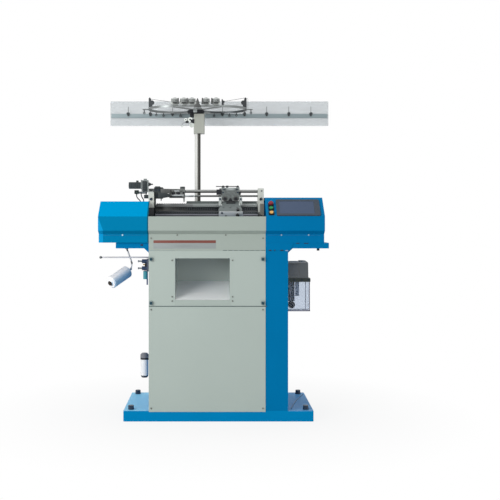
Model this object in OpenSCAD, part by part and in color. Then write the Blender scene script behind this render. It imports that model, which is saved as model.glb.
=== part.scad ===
// Glove knitting machine: a cabinet on a plinth, a V-bed knitting head with a
// sliding carriage on top, and a yarn stand behind it. Millimetres, +X to the
// operator's right, +Y away from the operator, +Z up, origin on the floor under
// the middle of the plinth.

/* [Base] */
// Width of the base plinth
base_w = 1120; // [1060:10:1200]
// Depth of the base plinth
base_d = 600; // [580:5:640]
// Height of the base plinth
base_h = 62; // [50:1:80]
// Corner radius of the plinth seen from above
base_r = 6; // [2:1:20]
// Distance of a levelling bolt from the plinth's side edge
bolt_inset_x = 42; // [35:1:60]
// Distance of a levelling bolt from the plinth's front or back edge
bolt_inset_y = 48; // [35:1:70]
// Thread diameter of the levelling bolts
bolt_d = 20; // [12:1:24]
// Thickness of the plinth left under a bolt
bolt_floor = 8; // [4:1:20]

/* [Column] */
// Width of the column
column_w = 820; // [800:5:850]
// Depth of the column
column_d = 560; // [540:5:575]
// Height of the column from the plinth to the table
column_h = 956; // [940:2:1000]
// Thickness of the column's sheet
sheet_t = 3; // [2:0.5:5]
// Width of the folded flanges
flange_w = 30; // [20:1:45]
// Width of the blue strip at the right of the front panels
front_strip_w = 133; // [110:1:150]
// Leg of the triangular gussets under the table arms
gusset_leg = 28; // [25:1:60]

/* [Table] */
// Thickness of the table
table_t = 33; // [25:1:45]
// Reach of the table's left arm beyond the column
table_left = 195; // [190:5:270]
// Reach of the table's right arm beyond the column
table_right = 240; // [215:5:280]
// Set-back of the left arm's front edge
table_step = 10; // [5:5:170]

/* [Front panels] */
// Thickness of the grey front panels
panel_t = 3; // [2:0.5:5]
// Distance of the middle panel's upper edge below the table
panel_drop = 12; // [8:1:20]
// Height of the middle panel
middle_panel_h = 328; // [310:1:345]
// Lap of the lower panel over the plinth
plinth_lap = 5; // [2:1:20]
// Width of the glove opening
opening_w = 323; // [260:1:340]
// Height of the glove opening
opening_h = 246; // [200:1:250]
// Middle of the glove opening
opening_x = -94; // [-120:1:-70]
// Height of the glove opening above the middle panel's lower edge
opening_rise = 36; // [30:1:50]
// Thickness of the chute's sheet
chute_t = 2; // [1:0.5:3]
// Slope of the chute's floor
chute_slope = 17.5; // [10:0.5:24]
// Diameter of the quarter-turn latches
latch_d = 26; // [18:1:32]
// Distance of the latches and screws from a panel's edge
latch_inset = 15; // [14:1:20]
// Diameter of the panel screws' heads
screw_d = 10; // [6:0.5:14]

/* [Covers] */
// Thickness of the covers' sheet
cover_t = 3; // [2:0.5:5]
// How far the covers' front bands stand before the panels
band_lead = 37; // [20:1:50]
// Height of the lower bend above the table
fold_h = 52; // [35:1:58]
// Height of the band's lower edge above the table
band_low_h = 72; // [60:1:80]
// Height of the band's upper edge above the table
band_high_h = 155; // [140:1:165]
// Reach of the left cover beyond the column
left_cover_end = 294; // [260:1:310]
// Height of the left cover's ridge above the table
left_ridge_h = 246; // [220:1:255]
// Depth of the left cover's slope
left_ridge_run = 125; // [100:1:140]
// Reach of the right cover beyond the front panels' right edge
right_cover_end = 345; // [328:1:363]
// Height of the right cover's ridge above the table
right_ridge_h = 269; // [255:1:290]
// Depth of the right cover's slope
right_ridge_run = 140; // [130:1:160]
// Gap between neighbouring covers
cover_gap = 1; // [0.5:0.5:3]

/* [Control face] */
// Width of the display's bezel
display_w = 256; // [220:1:265]
// Height of the display's bezel along the slope
display_h = 152; // [140:1:168]
// Thickness of the display's bezel
display_t = 6; // [5:1:20]
// Width of the bezel's rim round the screen
display_rim = 17; // [10:1:25]
// Extra width of the rim on the bezel's right side
display_grip = 16; // [0:1:30]
// Middle of the display, from the front panels' right edge
display_x = 193; // [191:1:197]
// Middle of the column of push buttons, from the front panels' right edge
button_x = 34; // [31:1:37]
// Diameter of the round push buttons
button_d = 22; // [16:1:23]
// Diameter of the stop button's mushroom head
stop_d = 30; // [26:1:34]
// Travel of the push buttons
button_travel = 4; // [2:0.5:5]
// Clearance round a moving button
button_clear = 0.4; // [0.3:0.1:0.6]

/* [Knitting head] */
// Left end of the needle beds, from the left bracket's outer face
bed_x = 44; // [40:1:54]
// Length of the needle beds
bed_l = 620; // [600:1:621]
// Middle of the throat between the beds, from the column's middle
bed_y = -25; // [-30:1:-20]
// Width of the throat between the beds
throat_w = 30; // [28:1:40]
// Height of the throat's edges above the table
throat_h = 234; // [225:1:240]
// Length of a bed along its slope
bed_slope_l = 147; // [140:1:155]
// Slope of the beds
bed_slope = 35; // [32:0.5:38]
// Thickness of the beds
bed_t = 20; // [14:1:26]
// Needles in each bed
needle_n = 56; // [20:2:80]
// Width of a needle groove
groove_w = 3; // [2:0.2:4]
// Depth of a needle groove
groove_d = 5; // [4:0.5:6]
// Side clearance of a needle in its groove
needle_clear = 0.3; // [0.2:0.1:0.5]
// Thickness of the strips across the beds
strip_t = 3; // [2:0.5:4]
// Height of the presser bar on the rear bed
presser_h = 20; // [12:1:22]

/* [Rods and carriage] */
// Reach of the left bracket beyond the front panels' left edge
left_bracket_x = 14; // [12:1:16]
// Thickness of the left bracket
left_bracket_w = 33; // [28:1:34]
// Gap between the needle beds and the right bracket
right_bracket_x = 2; // [1:1:8]
// Thickness of the right bracket
right_bracket_w = 35; // [30:1:36]
// Distance of the rods from the throat's middle
rod_lead = 15; // [10:1:20]
// Diameter of the upper rod
upper_rod_d = 20; // [16:1:22]
// Height of the upper rod above the table
upper_rod_h = 312; // [308:1:318]
// Diameter of the lower rod
lower_rod_d = 12; // [8:1:14]
// Distance between the two rods
rod_gap = 29; // [27:1:30]
// Radial clearance of what slides on the rods
slide_clear = 0.3; // [0.2:0.1:0.5]
// Radial clearance of what is fixed on the rods
fixed_clear = 0.1; // [0.05:0.05:0.2]
// Left end of the carriage block, from the left bracket's outer face
carriage_x = 424; // [420:1:428]
// Length of the carriage block
carriage_l = 146; // [130:1:148]
// Gap between the cam boxes and the beds
cam_gap = 8; // [8:0.5:10]
// Thickness of the cam boxes
cam_t = 26; // [18:1:30]
// Left end of the yarn feeder, from the left bracket's outer face
feeder_x = 124; // [120:1:128]
// Length of the yarn feeder
feeder_l = 96; // [80:1:100]
// Length of the stop block
stop_l = 51; // [40:1:56]

/* [Carriage drive] */
// Radius of the belt pulleys
pulley_r = 20; // [16:1:24]
// Height of the pulleys' axis above the table
pulley_h = 159; // [155:1:165]
// Middle of the belt behind the throat
belt_back = 160; // [158:1:161]
// Width of the belt
belt_w = 13; // [10:0.5:14]
// Thickness of the belt
belt_t = 3; // [2:0.5:4]
// Running clearance of the belt and the pulleys
belt_clear = 0.4; // [0.3:0.1:0.6]
// Middle of the drive pulley, from the front panels' right edge
drive_x = 143; // [123:1:173]
// Distance of the idler pulley's middle outside the left bracket
idler_x = 46; // [41:1:56]

/* [Yarn stand] */
// Middle of the post
post_x = -130; // [-140:1:-120]
// Distance of the post behind the throat
post_back = 195; // [192:1:200]
// Diameter of the post
post_d = 38; // [30:1:42]
// Height of the collar's lower face above the table
collar_low_h = 686; // [600:2:720]
// Width of the collar
collar_w = 69; // [60:1:80]
// Depth of the collar
collar_d = 70; // [56:1:76]
// Height of the collar
collar_h = 124; // [110:1:140]
// Offset of the collar from the post
collar_shift = 10; // [0:1:12]
// Height of the hub from the collar to the hoop's upper edge
hub_h = 39; // [34:1:50]
// Radius of the hoop's round ends
hoop_r = 161; // [150:1:168]
// Length of the hoop's straight sides
hoop_straight = 302; // [280:2:320]
// Height of the hoop's band
hoop_h = 14; // [10:1:16]
// Thickness of the hoop's band
hoop_t = 6; // [4:0.5:8]
// Diameter of the tension discs
disc_d = 34; // [28:1:40]

/* [Guide board] */
// Reach of the board to the left of the middle
board_left = 707; // [690:1:720]
// Reach of the board to the right of the middle
board_right = 727; // [700:1:740]
// Height of the board
board_h = 161; // [120:1:180]
// Thickness of the board
board_t = 5; // [3:0.5:8]
// Corner radius of the board
board_r = 3; // [2:1:40]
// Height of the guide rail
rail_h = 26; // [20:1:32]
// Depth of the guide rail
rail_d = 16; // [10:1:20]
// Distance between neighbouring yarn guides
guide_pitch = 145; // [130:1:150]

/* [Oil pump] */
// Width of the oil pump's head
pump_w = 152; // [130:1:156]
// Depth of the oil pump's head
pump_d = 100; // [80:1:120]
// Height of the oil pump's head
pump_h = 125; // [100:1:135]
// Height of the oil tank
tank_h = 180; // [140:1:200]
// Rise from the oil tank's floor to the table
tank_rise = 392; // [356:1:456]
// Distance of the oil pump behind the front
pump_back = 300; // [240:5:320]
// Thickness of the tank's wall
tank_t = 3; // [2:0.5:5]

/* [Air fittings] */
// Distance of the air fittings behind the front
air_back = 100; // [90:1:120]
// Rise from the valve block's middle to the table
valve_rise = 100; // [92:1:116]
// Height of the valve block
valve_h = 72; // [66:1:80]
// Distance between the two valve knobs
knob_gap = 42; // [36:1:44]
// Diameter of the valve knobs
knob_d = 24; // [18:1:30]
// Diameter of the filter bowl
bowl_d = 46; // [36:1:56]
// Height of the filter bowl
bowl_h = 108; // [80:1:130]
// Height of the filter's head above the plinth
filter_rise = 290; // [260:1:360]

/* [Bobbin and side rod] */
// Radius of the yarn bobbin
bobbin_r = 37; // [30:1:46]
// Length of the yarn bobbin
bobbin_l = 168; // [140:1:180]
// Diameter of the bobbin's spindle
spindle_d = 12; // [10:1:14]
// Reach of the side rod beyond the column
side_rod_l = 295; // [250:5:310]
// Diameter of the side rod
side_rod_d = 8; // [6:1:12]

/* [Hidden] */
$fn = 48;

machine_blue = [0.02, 0.44, 0.66];
panel_grey = [0.68, 0.72, 0.69];
cream = [0.86, 0.86, 0.82];
steel = [0.72, 0.73, 0.74];
dark = [0.17, 0.17, 0.19];

// Main planes, from the floor up and from the front back
front_y = -base_d / 2;
panel_y = front_y - panel_t;
band_y = panel_y - band_lead;
column_back_y = front_y + column_d;
table_back_y = column_back_y - 10;
cover_back_y = table_back_y - 5;
table_z = base_h + column_h;
top_z = table_z + table_t;
panel_left = -column_w / 2;
panel_right = column_w / 2 - front_strip_w;
panel_low = base_h - plinth_lap;
table_left_x = -column_w / 2 - table_left;
table_right_x = column_w / 2 + table_right;
left_end_x = -column_w / 2 - left_cover_end;
right_end_x = panel_right + right_cover_end;
display_mid = panel_right + display_x;
button_mid = panel_right + button_x;
panel_top = table_z - panel_drop;
panel_seam = panel_top - middle_panel_h;
lower_panel_h = panel_seam - panel_low;
opening_low = panel_seam + opening_rise;
fold_z = top_z + fold_h;
band_low = top_z + band_low_h;
band_high = top_z + band_high_h;

// Ear of the right side panel that laps over the table's front edge
ear_drop = 10;
ear_reach = 33;

// Levelling bolts
bolt_af = 1.5 * bolt_d;
bolt_nut_h = 0.6 * bolt_d;
bolt_head_h = 0.65 * bolt_d;
bolt_clear = 0.5;

// Knitting head
throat_y = front_y + column_d / 2 + bed_y;
head_left = panel_left - left_bracket_x;
bed_left = head_left + bed_x;
head_right = bed_left + bed_l + right_bracket_x;
block_x = head_left + carriage_x;
feeder_left = head_left + feeder_x;
drive_mid = panel_right + drive_x;
idler_mid = head_left - idler_x;

// Glove chute, from the sill of the opening to the slot in the table
sill_z = opening_low + chute_t;
chute_back_y = throat_y + 40;
chute_rise = (chute_back_y - front_y) * tan(chute_slope);
lip_h = 30;
lip_over = 3;
sill_clear = 1;
slot_front_y = throat_y - 60;
slot_back_y = chute_back_y - 5;

// Latches
latch_stem_d = 10;
latch_clear = 0.4;
latch_h = 7;
wing_w = 8;
wing_h = 10;

// Control slope
slope_a = atan((right_ridge_h - band_high_h) / right_ridge_run);
slope_l = norm([right_ridge_run, right_ridge_h - band_high_h]);
stop_v = slope_l * 0.6;
start_v = slope_l * 0.385;
jog_v = slope_l * 0.15;
collar_ring_h = 8;
recess_d = 3;
display_v = slope_l * 0.44;
screen_w = display_w - 2 * display_rim - display_grip;
screen_h = display_h - 2 * display_rim;

// Beds: a point at v up the slope and w above the front bed's surface
bed_run = bed_slope_l * cos(bed_slope);
bed_foot_y = throat_y - throat_w / 2 - bed_run;
bed_foot_z = top_z + throat_h - bed_slope_l * sin(bed_slope);
function bed_point(v, w) = [bed_foot_y + v * cos(bed_slope) - w * sin(bed_slope),
    bed_foot_z + v * sin(bed_slope) + w * cos(bed_slope)];
needle_pitch = bed_l / needle_n;
needle_h = 3;
butt_v = 48;
butt_l = 8;
butt_h = 5;
hook_l = 12;
verge_w = 22;
presser_w = 12;
presser_l = 436;
rail_foot_w = 60;
bed_seat = 0.02;
merge = 1;

// Rods
rod_y = throat_y - rod_lead;
upper_rod_z = top_z + upper_rod_h;
lower_rod_z = upper_rod_z - rod_gap;
bracket_top_z = upper_rod_z + upper_rod_d / 2 + 6;
motor_seat_z = upper_rod_z - 8;
rod_x = head_left + left_bracket_w / 2;
rod_l = head_right + right_bracket_w / 2 - rod_x;

// Carriage
block_low_z = lower_rod_z - lower_rod_d / 2 - 14;
block_high_z = upper_rod_z + upper_rod_d / 2 + 12;
block_front_y = rod_y - 28;
block_back_y = rod_y + 28;
ledge_back_y = throat_y + 70;
body_x = block_x + 17;
body_l = carriage_l - 32;
ledge_h = 16;
cam_v = bed_slope_l - 19;
cam_x = block_x + 2;
cam_w = 140;
cam_cut_left = 32;
cam_cut_right = 16;
plate_x = block_x + 22;
plate_w = 104;
plate_t = 18;
plate_low_z = bed_point(cam_v, cam_gap + cam_t)[1] + 1;
knob_z = plate_low_z + 13;

// Belt and pulleys
pulley_z = top_z + pulley_h;
belt_y = throat_y + belt_back;
pulley_w = belt_w + 1;
pulley_flange_t = 2;
mount_plate_y = belt_y + pulley_w / 2 + pulley_flange_t + 4;
mount_plate_t = 6;
drive_shaft_d = 14;
shaft_depth = 27;
idler_pin_d = 12;
drive_motor_w = 80;
drive_motor_l = 98;
belt_in_r = pulley_r + belt_clear;
belt_top_z = pulley_z + belt_in_r;
jaw_x = block_x + 60;
jaw_l = 30;
jaw_clear = 0.6;

// Feeder
feeder_low_z = lower_rod_z - lower_rod_d / 2 - 6;
feeder_high_z = upper_rod_z + upper_rod_d / 2 + 4;
feeder_pin_low_z = top_z + throat_h + 11;
stop_x = head_left + left_bracket_w;

// Feeder motor
motor_y = rod_y - 42;
motor_w = 40;
motor_l = 75;
motor_face_x = head_left - 43;
motor_z = motor_seat_z + 42;
upright_t = 6;
sensor_d = 25;

// Motor leads: route points chosen by hand, relative to the motor's seat
lead_d = 6;
lead_a = [[-74, 0, -12], [-74, 0, -20], [-72, 0, -28], [-67, 0, -36], [-60, 0, -43],
    [-54, 0, -49], [-50, 0, -56]];
lead_b = [[-46, 0, 0], [-46, 0, -10], [-45, 0, -19], [-42, 0, -28], [-37, 0, -36],
    [-32, 0, -44], [-30, 0, -56]];
lead_at = [head_left, motor_y, motor_seat_z];

// Yarn stand
post_y = throat_y + post_back;
collar_z = top_z + collar_low_h;
collar_top_z = collar_z + collar_h;
hoop_top_z = collar_top_z + hub_h;
hoop_low_z = hoop_top_z - hoop_h;
hub_d = 60;
spoke_w = 16;
spoke_t = 6;
hoop_mid_r = hoop_r - hoop_t / 2;
hoop_end = hoop_straight / 2 + hoop_r;
hoop_arm_l = 40;
function hoop_depth(x) = abs(x) <= hoop_straight / 2 ? hoop_mid_r :
    sqrt(pow(hoop_mid_r, 2) - pow(abs(x) - hoop_straight / 2, 2));
unit_places = [-138, -82, -32, 55, 117];
eyelet_places = [-270, -225, -115, 105, 205, 250];

// Guide board
rail_front_y = post_y + hoop_r + 15;
rail_z = collar_top_z - 1;
board_y = rail_front_y + rail_d;
board_z = rail_z + rail_h / 2 - 0.4 * board_h;
guide_places = concat([for (i = [0:2]) -588 + i * guide_pitch], [for (i = [0:4]) 30 + i * guide_pitch]);

// Oil pump
pump_x = column_w / 2;
pump_y = front_y + pump_back;
tank_z = table_z - tank_rise;
pump_z = tank_z + tank_h;

// Air fittings
air_y = front_y + air_back;
side_x = -column_w / 2;
valve_z = table_z - valve_rise;
valve_t = 17;
knob_stem_d = 9;
knob_l = 30;
knob_reach = 24;
knob_depth = 13;
muffler_d = 28;
muffler_h = 50;
knob_clear = 0.3;
filter_z = base_h + filter_rise;
filter_gap = 9;
filter_head_h = 30;

// Bobbin, from its far end to its near end
bobbin_far = [side_x - 139, air_y + 100, table_z - 142];
bobbin_axis = unit([-98, -120, -69]);
bobbin_clear = 0.3;
spindle_tail = 25;
arm_d = 10;
arm_foot = bobbin_far - spindle_tail * bobbin_axis;
arm_bend = arm_foot + [6, 0, 38];
arm_top = [arm_bend[0] - 32, arm_bend[1], table_z];
side_rod_z = valve_z + valve_h / 2 + 8;

// Sheet folded along an outline: the outline and its copy one thickness to the right
function unit(v) = v / norm(v);
function right_normal(a, b) = let (d = unit(b - a)) [d[1], -d[0]];
function mitre(p, i, t) =
    i == 0 ? p[0] + t * right_normal(p[0], p[1]) :
    i == len(p) - 1 ? p[i] + t * right_normal(p[i - 1], p[i]) :
    let (m = right_normal(p[i - 1], p[i]), n = right_normal(p[i], p[i + 1]))
    p[i] + t * (m + n) / (1 + m * n);
function folded(p, t) = concat(p, [for (i = [len(p) - 1:-1:0]) mitre(p, i, t)]);

// Extrusions along an axis: along X the drawing is (Y, Z), along Y it is (X, Z)
module along_x(x, length) {
    translate([x, 0, 0]) rotate([90, 0, 90]) linear_extrude(length) children();
}
module along_y(y, length) {
    translate([0, y + length, 0]) rotate([90, 0, 0]) linear_extrude(length) children();
}
module along_z(z, height) {
    translate([0, 0, z]) linear_extrude(height) children();
}
module rounded_rect(w, h, r) {
    square([w - 2 * r, h], center = true);
    square([w, h - 2 * r], center = true);
    for (x = [-1, 1], y = [-1, 1])
        translate([x * (w / 2 - r), y * (h / 2 - r)]) circle(r);
}
module rounded_span(low, high, r) {
    translate((low + high) / 2) rounded_rect(high[0] - low[0], high[1] - low[1], r);
}
module stadium(straight, r) {
    square([straight, 2 * r], center = true);
    for (x = [-1, 1]) translate([x * straight / 2, 0]) circle(r);
}
module bar_between(a, b, d) {
    v = b - a;
    translate(a) rotate([0, acos(v[2] / norm(v)), atan2(v[1], v[0])]) cylinder(d = d, h = norm(v));
}
module ring(r, wire_r) {
    rotate_extrude() translate([r, 0]) circle(wire_r, $fn = 24);
}

// Round tube swept along a list of points in one vertical plane
tube_sides = 8;
function tangent(p, i) = unit(p[min(i + 1, len(p) - 1)] - p[max(i - 1, 0)]);
function tube_ring(p, i, r) = let (t = tangent(p, i), s = [0, 1, 0], u = cross(t, s))
    [for (k = [0:tube_sides - 1]) p[i] + r * (cos(k * 360 / tube_sides) * s + sin(k * 360 / tube_sides) * u)];
module tube(p, r) {
    n = len(p);
    points = [for (i = [0:n - 1]) each tube_ring(p, i, r)];
    sides = [for (i = [0:n - 2], k = [0:tube_sides - 1]) let (j = (k + 1) % tube_sides)
        [i * tube_sides + k, i * tube_sides + j, (i + 1) * tube_sides + j, (i + 1) * tube_sides + k]];
    near_cap = [for (k = [tube_sides - 1:-1:0]) k];
    far_cap = [for (k = [0:tube_sides - 1]) (n - 1) * tube_sides + k];
    polyhedron(points, concat(sides, [near_cap, far_cap]), convexity = 4);
}

// Base
module at_bolts() {
    for (x = [-1, 1], y = [-1, 1])
        translate([x * (base_w / 2 - bolt_inset_x), y * (base_d / 2 - bolt_inset_y), 0]) children();
}
module base_plinth() {
    color(machine_blue) difference() {
        along_z(0, base_h) rounded_rect(base_w, base_d, base_r);
        at_bolts() translate([0, 0, bolt_floor]) cylinder(d = bolt_d + 2 * bolt_clear, h = base_h);
    }
}
module levelling_bolts() {
    hex_d = bolt_af / cos(30);
    color(dark) at_bolts() {
        translate([0, 0, bolt_floor]) cylinder(d = bolt_d, h = base_h - bolt_floor + bolt_nut_h + merge);
        translate([0, 0, base_h]) cylinder(d = hex_d, h = bolt_nut_h, $fn = 6);
        translate([0, 0, base_h + bolt_nut_h]) rotate([0, 0, 20])
            cylinder(d = hex_d, h = bolt_head_h, $fn = 6);
    }
}

// Column
module gussets(x, side) {
    for (y = [front_y + table_step + 4, table_back_y - 40]) {
        along_y(y, 2 * sheet_t) translate([x, table_z])
            polygon([[-side * sheet_t / 2, 0], [side * gusset_leg, 0], [-side * sheet_t / 2, -gusset_leg]]);
    }
}
module left_frame_panel() {
    x = -column_w / 2;
    path = [[x + flange_w, front_y], [x, front_y], [x, column_back_y], [x + flange_w, column_back_y]];
    color(machine_blue) {
        along_z(base_h, column_h) polygon(folded(path, sheet_t));
        gussets(x, -1);
    }
}
module right_frame_panel() {
    x = column_w / 2;
    path = [[x - front_strip_w - flange_w, front_y], [x, front_y], [x, column_back_y],
        [x - flange_w, column_back_y]];
    color(machine_blue) {
        along_z(base_h, column_h) polygon(folded(path, -sheet_t));
        gussets(x, 1);
        along_y(front_y - sheet_t, sheet_t) polygon([[panel_right + cover_gap, table_z - ear_drop],
            [panel_right + cover_gap, top_z - cover_gap], [x + ear_reach, top_z - cover_gap],
            [x + ear_reach - 20, table_z - ear_drop]]);
    }
}
module back_panel() {
    edge = 4;
    color(machine_blue) along_y(column_back_y, sheet_t)
        rounded_span([-column_w / 2 + edge, base_h + edge], [column_w / 2 - edge, table_z - edge], 8);
}
module bed_table() {
    x = column_w / 2;
    color(machine_blue) difference() {
        along_z(table_z, table_t) polygon([[table_left_x, front_y + table_step], [-x, front_y + table_step],
            [-x, front_y], [table_right_x, front_y], [table_right_x, table_back_y],
            [table_left_x, table_back_y]]);
        translate([opening_x - opening_w / 2, slot_front_y, table_z - 1])
            cube([opening_w, slot_back_y - slot_front_y, table_t + 2]);
    }
}

// Covers
function cover_path(ridge_h, ridge_run, apron_low) = [[panel_y, apron_low], [panel_y, fold_z],
    [band_y, band_low], [band_y, band_high], [band_y + ridge_run, top_z + ridge_h],
    [cover_back_y, top_z + ridge_h], [cover_back_y, top_z]];
module left_cover() {
    notch_x = head_left - 6;
    x_end = panel_left - cover_gap;
    path = cover_path(left_ridge_h, left_ridge_run, top_z + cover_gap);
    gland_z = top_z + left_ridge_h;
    color(machine_blue) {
        difference() {
            union() {
                along_x(left_end_x, x_end - left_end_x) polygon(folded(path, cover_t));
                along_x(left_end_x, cover_t) polygon(path);
            }
            translate([notch_x, band_y + left_ridge_run + 20, top_z - 1]) cube([100, base_d, 400]);
        }
        for (p = [lead_a, lead_b]) translate(lead_at + p[len(p) - 1]) gland(gland_z - cover_t);
    }
}
// Cable gland whose flange stands on the cover's top
module gland(z_low) {
    z = lead_at[2] + lead_a[len(lead_a) - 1][2];
    translate([0, 0, z_low - z]) cylinder(d = 2 * lead_d, h = z - z_low);
}
module right_cover() {
    x = panel_right + cover_gap;
    path = cover_path(right_ridge_h, right_ridge_run, top_z);
    color(machine_blue) {
        along_x(x, right_end_x - x) polygon(folded(path, cover_t));
        along_x(right_end_x - cover_t, cover_t) polygon(path);
    }
}
module upper_front_cover() {
    lip = 22;
    path = [[panel_y, panel_top], [panel_y, fold_z], [band_y, band_low], [band_y, band_high],
        [band_y + lip, band_high]];
    color(panel_grey) along_x(panel_left, panel_right - panel_left) polygon(folded(path, panel_t));
}

// Front panels
latch_left_x = panel_left + latch_inset;
latch_right_x = panel_right - latch_inset;
latch_high_z = panel_top - 50;
latch_low_z = panel_seam + 20;
module middle_front_panel() {
    color(panel_grey) along_y(panel_y, panel_t) difference() {
        translate([panel_left, panel_seam]) square([panel_right - panel_left, middle_panel_h - cover_gap]);
        translate([opening_x - opening_w / 2, opening_low]) square([opening_w, opening_h]);
        for (x = [latch_left_x, latch_right_x], z = [latch_low_z, latch_high_z])
            translate([x, z]) circle(d = latch_stem_d + 2 * latch_clear);
    }
}
module lower_front_panel() {
    color(panel_grey) along_y(panel_y, panel_t)
        translate([panel_left, panel_low]) square([panel_right - panel_left, lower_panel_h - cover_gap]);
}
module glove_chute() {
    x = opening_x - opening_w / 2;
    floor_path = [[front_y, sill_z], [chute_back_y, sill_z + chute_rise], [chute_back_y, table_z]];
    sill_path = [[panel_y - chute_t, sill_z - lip_h], [panel_y - chute_t, sill_z],
        [front_y + chute_t, sill_z]];
    color(steel) {
        along_x(x - chute_t, opening_w + 2 * chute_t) polygon(folded(floor_path, chute_t));
        for (wall_x = [x - chute_t, x + opening_w])
            along_x(wall_x, chute_t) polygon(concat(floor_path, [[front_y, table_z]]));
        along_x(x + sill_clear, opening_w - 2 * sill_clear) polygon(folded(sill_path, chute_t));
        along_y(panel_y - chute_t, chute_t) rounded_span([x - lip_over, sill_z - lip_h],
            [x + opening_w + lip_over, sill_z - chute_t - 0.5], 3);
    }
}

// Quarter-turn latch: a round body with a wing, on a stem through the panel
module latch(x, z) {
    color([0.05, 0.12, 0.25]) translate([x, panel_y, z]) rotate([90, 0, 0]) {
        translate([0, 0, -panel_t]) cylinder(d = latch_stem_d, h = panel_t + 1);
        translate([0, 0, latch_clear]) cylinder(d = latch_d, h = latch_h);
        translate([0, 0, latch_h]) linear_extrude(wing_h) rounded_rect(wing_w, latch_d - 2, wing_w / 2 - 0.1);
    }
}
module latch_upper_left() latch(latch_left_x, latch_high_z);
module latch_upper_right() latch(latch_right_x, latch_high_z);
module latch_lower_left() latch(latch_left_x, latch_low_z);
module latch_lower_right() latch(latch_right_x, latch_low_z);

module screw_head(x, y, z) {
    head_h = 0.35 * screw_d;
    translate([x, y, z]) rotate([90, 0, 0]) difference() {
        cylinder(d = screw_d, h = head_h);
        translate([0, 0, head_h / 2]) cylinder(d = screw_d / 2, h = head_h, $fn = 6);
    }
}
module panel_screws() {
    low_z = panel_low + 21;
    high_z = panel_seam - 20;
    hole_left = opening_x - opening_w / 2 - 16;
    hole_right = opening_x + opening_w / 2 + 16;
    apron_z = fold_z - 0.6 * screw_d;
    corner_drop = 19;
    color([0.8, 0.8, 0.78]) {
        for (x = [latch_left_x, latch_right_x], z = [low_z, high_z]) screw_head(x, panel_y, z);
        for (x = [hole_left, hole_right], z = [opening_low + 20, opening_low + opening_h - 12])
            screw_head(x, panel_y, z);
        for (x = [hole_left, hole_right]) screw_head(x, panel_y, sill_z - 0.7 * screw_d);
        for (x = [opening_x - 148, opening_x + 137]) screw_head(x, panel_y, apron_z);
        for (x = [latch_left_x, latch_right_x]) screw_head(x, panel_y, apron_z - corner_drop);
        screw_head(left_end_x + 140, panel_y, apron_z);
        for (x = [93, 253]) screw_head(panel_right + x, panel_y, apron_z);
        for (z = [band_high - 17, band_low + 6]) translate([right_end_x, band_y + 90, z])
            rotate([0, 90, 0]) cylinder(d = screw_d + 2, h = 5, $fn = 6);
        translate([table_right_x - 58, front_y + 50, table_z - 14])
            cylinder(d = screw_d + 6, h = 14, $fn = 6);
        for (x = [-1, 1], z = [base_h + 60, table_z - 60])
            translate([0, column_back_y + sheet_t, 0]) mirror([0, 1, 0])
                screw_head(x * (column_w / 2 - latch_inset), 0, z);
    }
}

// Control face: X, distance up the slope and height above it
module on_slope(x, v) {
    translate([x, band_y, band_high]) rotate([slope_a, 0, 0]) translate([0, v, 0]) children();
}
module button_collar(bore_d) {
    difference() {
        union() {
            cylinder(d = bore_d + 10, h = collar_ring_h);
            linear_extrude(2) rounded_rect(bore_d + 12, bore_d + 12, 3);
        }
        translate([0, 0, -1]) cylinder(d = bore_d + 2 * button_clear, h = collar_ring_h + 2);
    }
}
module control_bezels() {
    color(dark) {
        on_slope(display_mid, display_v) difference() {
            linear_extrude(display_t) rounded_rect(display_w, display_h, 10);
            translate([-display_grip / 2, 0, display_t - recess_d]) linear_extrude(recess_d + 1)
                rounded_rect(screen_w, screen_h, 3);
        }
        on_slope(button_mid, stop_v) button_collar(button_d);
        for (v = [start_v, jog_v]) on_slope(button_mid, v) button_collar(button_d);
    }
}
module display_screen() {
    color([0.36, 0.42, 0.52]) on_slope(display_mid - display_grip / 2, display_v)
        translate([0, 0, display_t - recess_d])
        linear_extrude(recess_d - 1) rounded_rect(screen_w - 1, screen_h - 1, 2.5);
}
module plunger() {
    translate([0, 0, button_travel + 1]) cylinder(d = button_d, h = collar_ring_h);
}
module stop_button() {
    low = button_travel + 1;
    cap_low = low + collar_ring_h;
    color("crimson") on_slope(button_mid, stop_v) rotate_extrude() polygon([[0, low], [button_d / 2, low],
        [button_d / 2, cap_low], [stop_d / 2 - 2, cap_low], [stop_d / 2, cap_low + 4],
        [stop_d / 2 - 4, cap_low + 10], [0, cap_low + 10]]);
}
module start_button() {
    color("limegreen") on_slope(button_mid, start_v) plunger();
}
module jog_button() {
    color("gold") on_slope(button_mid, jog_v) plunger();
}

// Needle beds: X along the bed, Y up its slope, Z above its surface
module on_front_bed() {
    translate([0, bed_foot_y, bed_foot_z]) rotate([bed_slope, 0, 0]) children();
}
module at_rear() {
    translate([0, 2 * throat_y, 0]) mirror([0, 1, 0]) children();
}
function groove_x(i) = bed_left + (i + 0.5) * needle_pitch;
// Section of a bed along X, with one groove for each needle
module bed_section() {
    half = groove_w / 2;
    grooves = [for (i = [needle_n - 1:-1:0]) each [[groove_x(i) + half, 0], [groove_x(i) + half, -groove_d],
        [groove_x(i) - half, -groove_d], [groove_x(i) - half, 0]]];
    bed_right = bed_left + bed_l;
    polygon(concat([[bed_left, 0], [bed_left, -bed_t], [bed_right, -bed_t], [bed_right, 0]], grooves));
}
module cross_strip(v, w) {
    translate([bed_left, v, -merge]) cube([bed_l, w, strip_t + merge]);
}
module needle_bed() {
    along_y(0, bed_slope_l) bed_section();
    cross_strip(bed_slope_l - verge_w, verge_w);
    cross_strip(butt_v + 20, 6);
    cross_strip(20, 16);
}
module front_needle_bed() {
    color(steel) on_front_bed() needle_bed();
}
module rear_needle_bed() {
    color(steel) at_rear() on_front_bed() {
        needle_bed();
        translate([bed_left + bed_l - presser_l, bed_slope_l - presser_w, strip_t])
            cube([presser_l, presser_w, presser_h]);
    }
}
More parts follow.
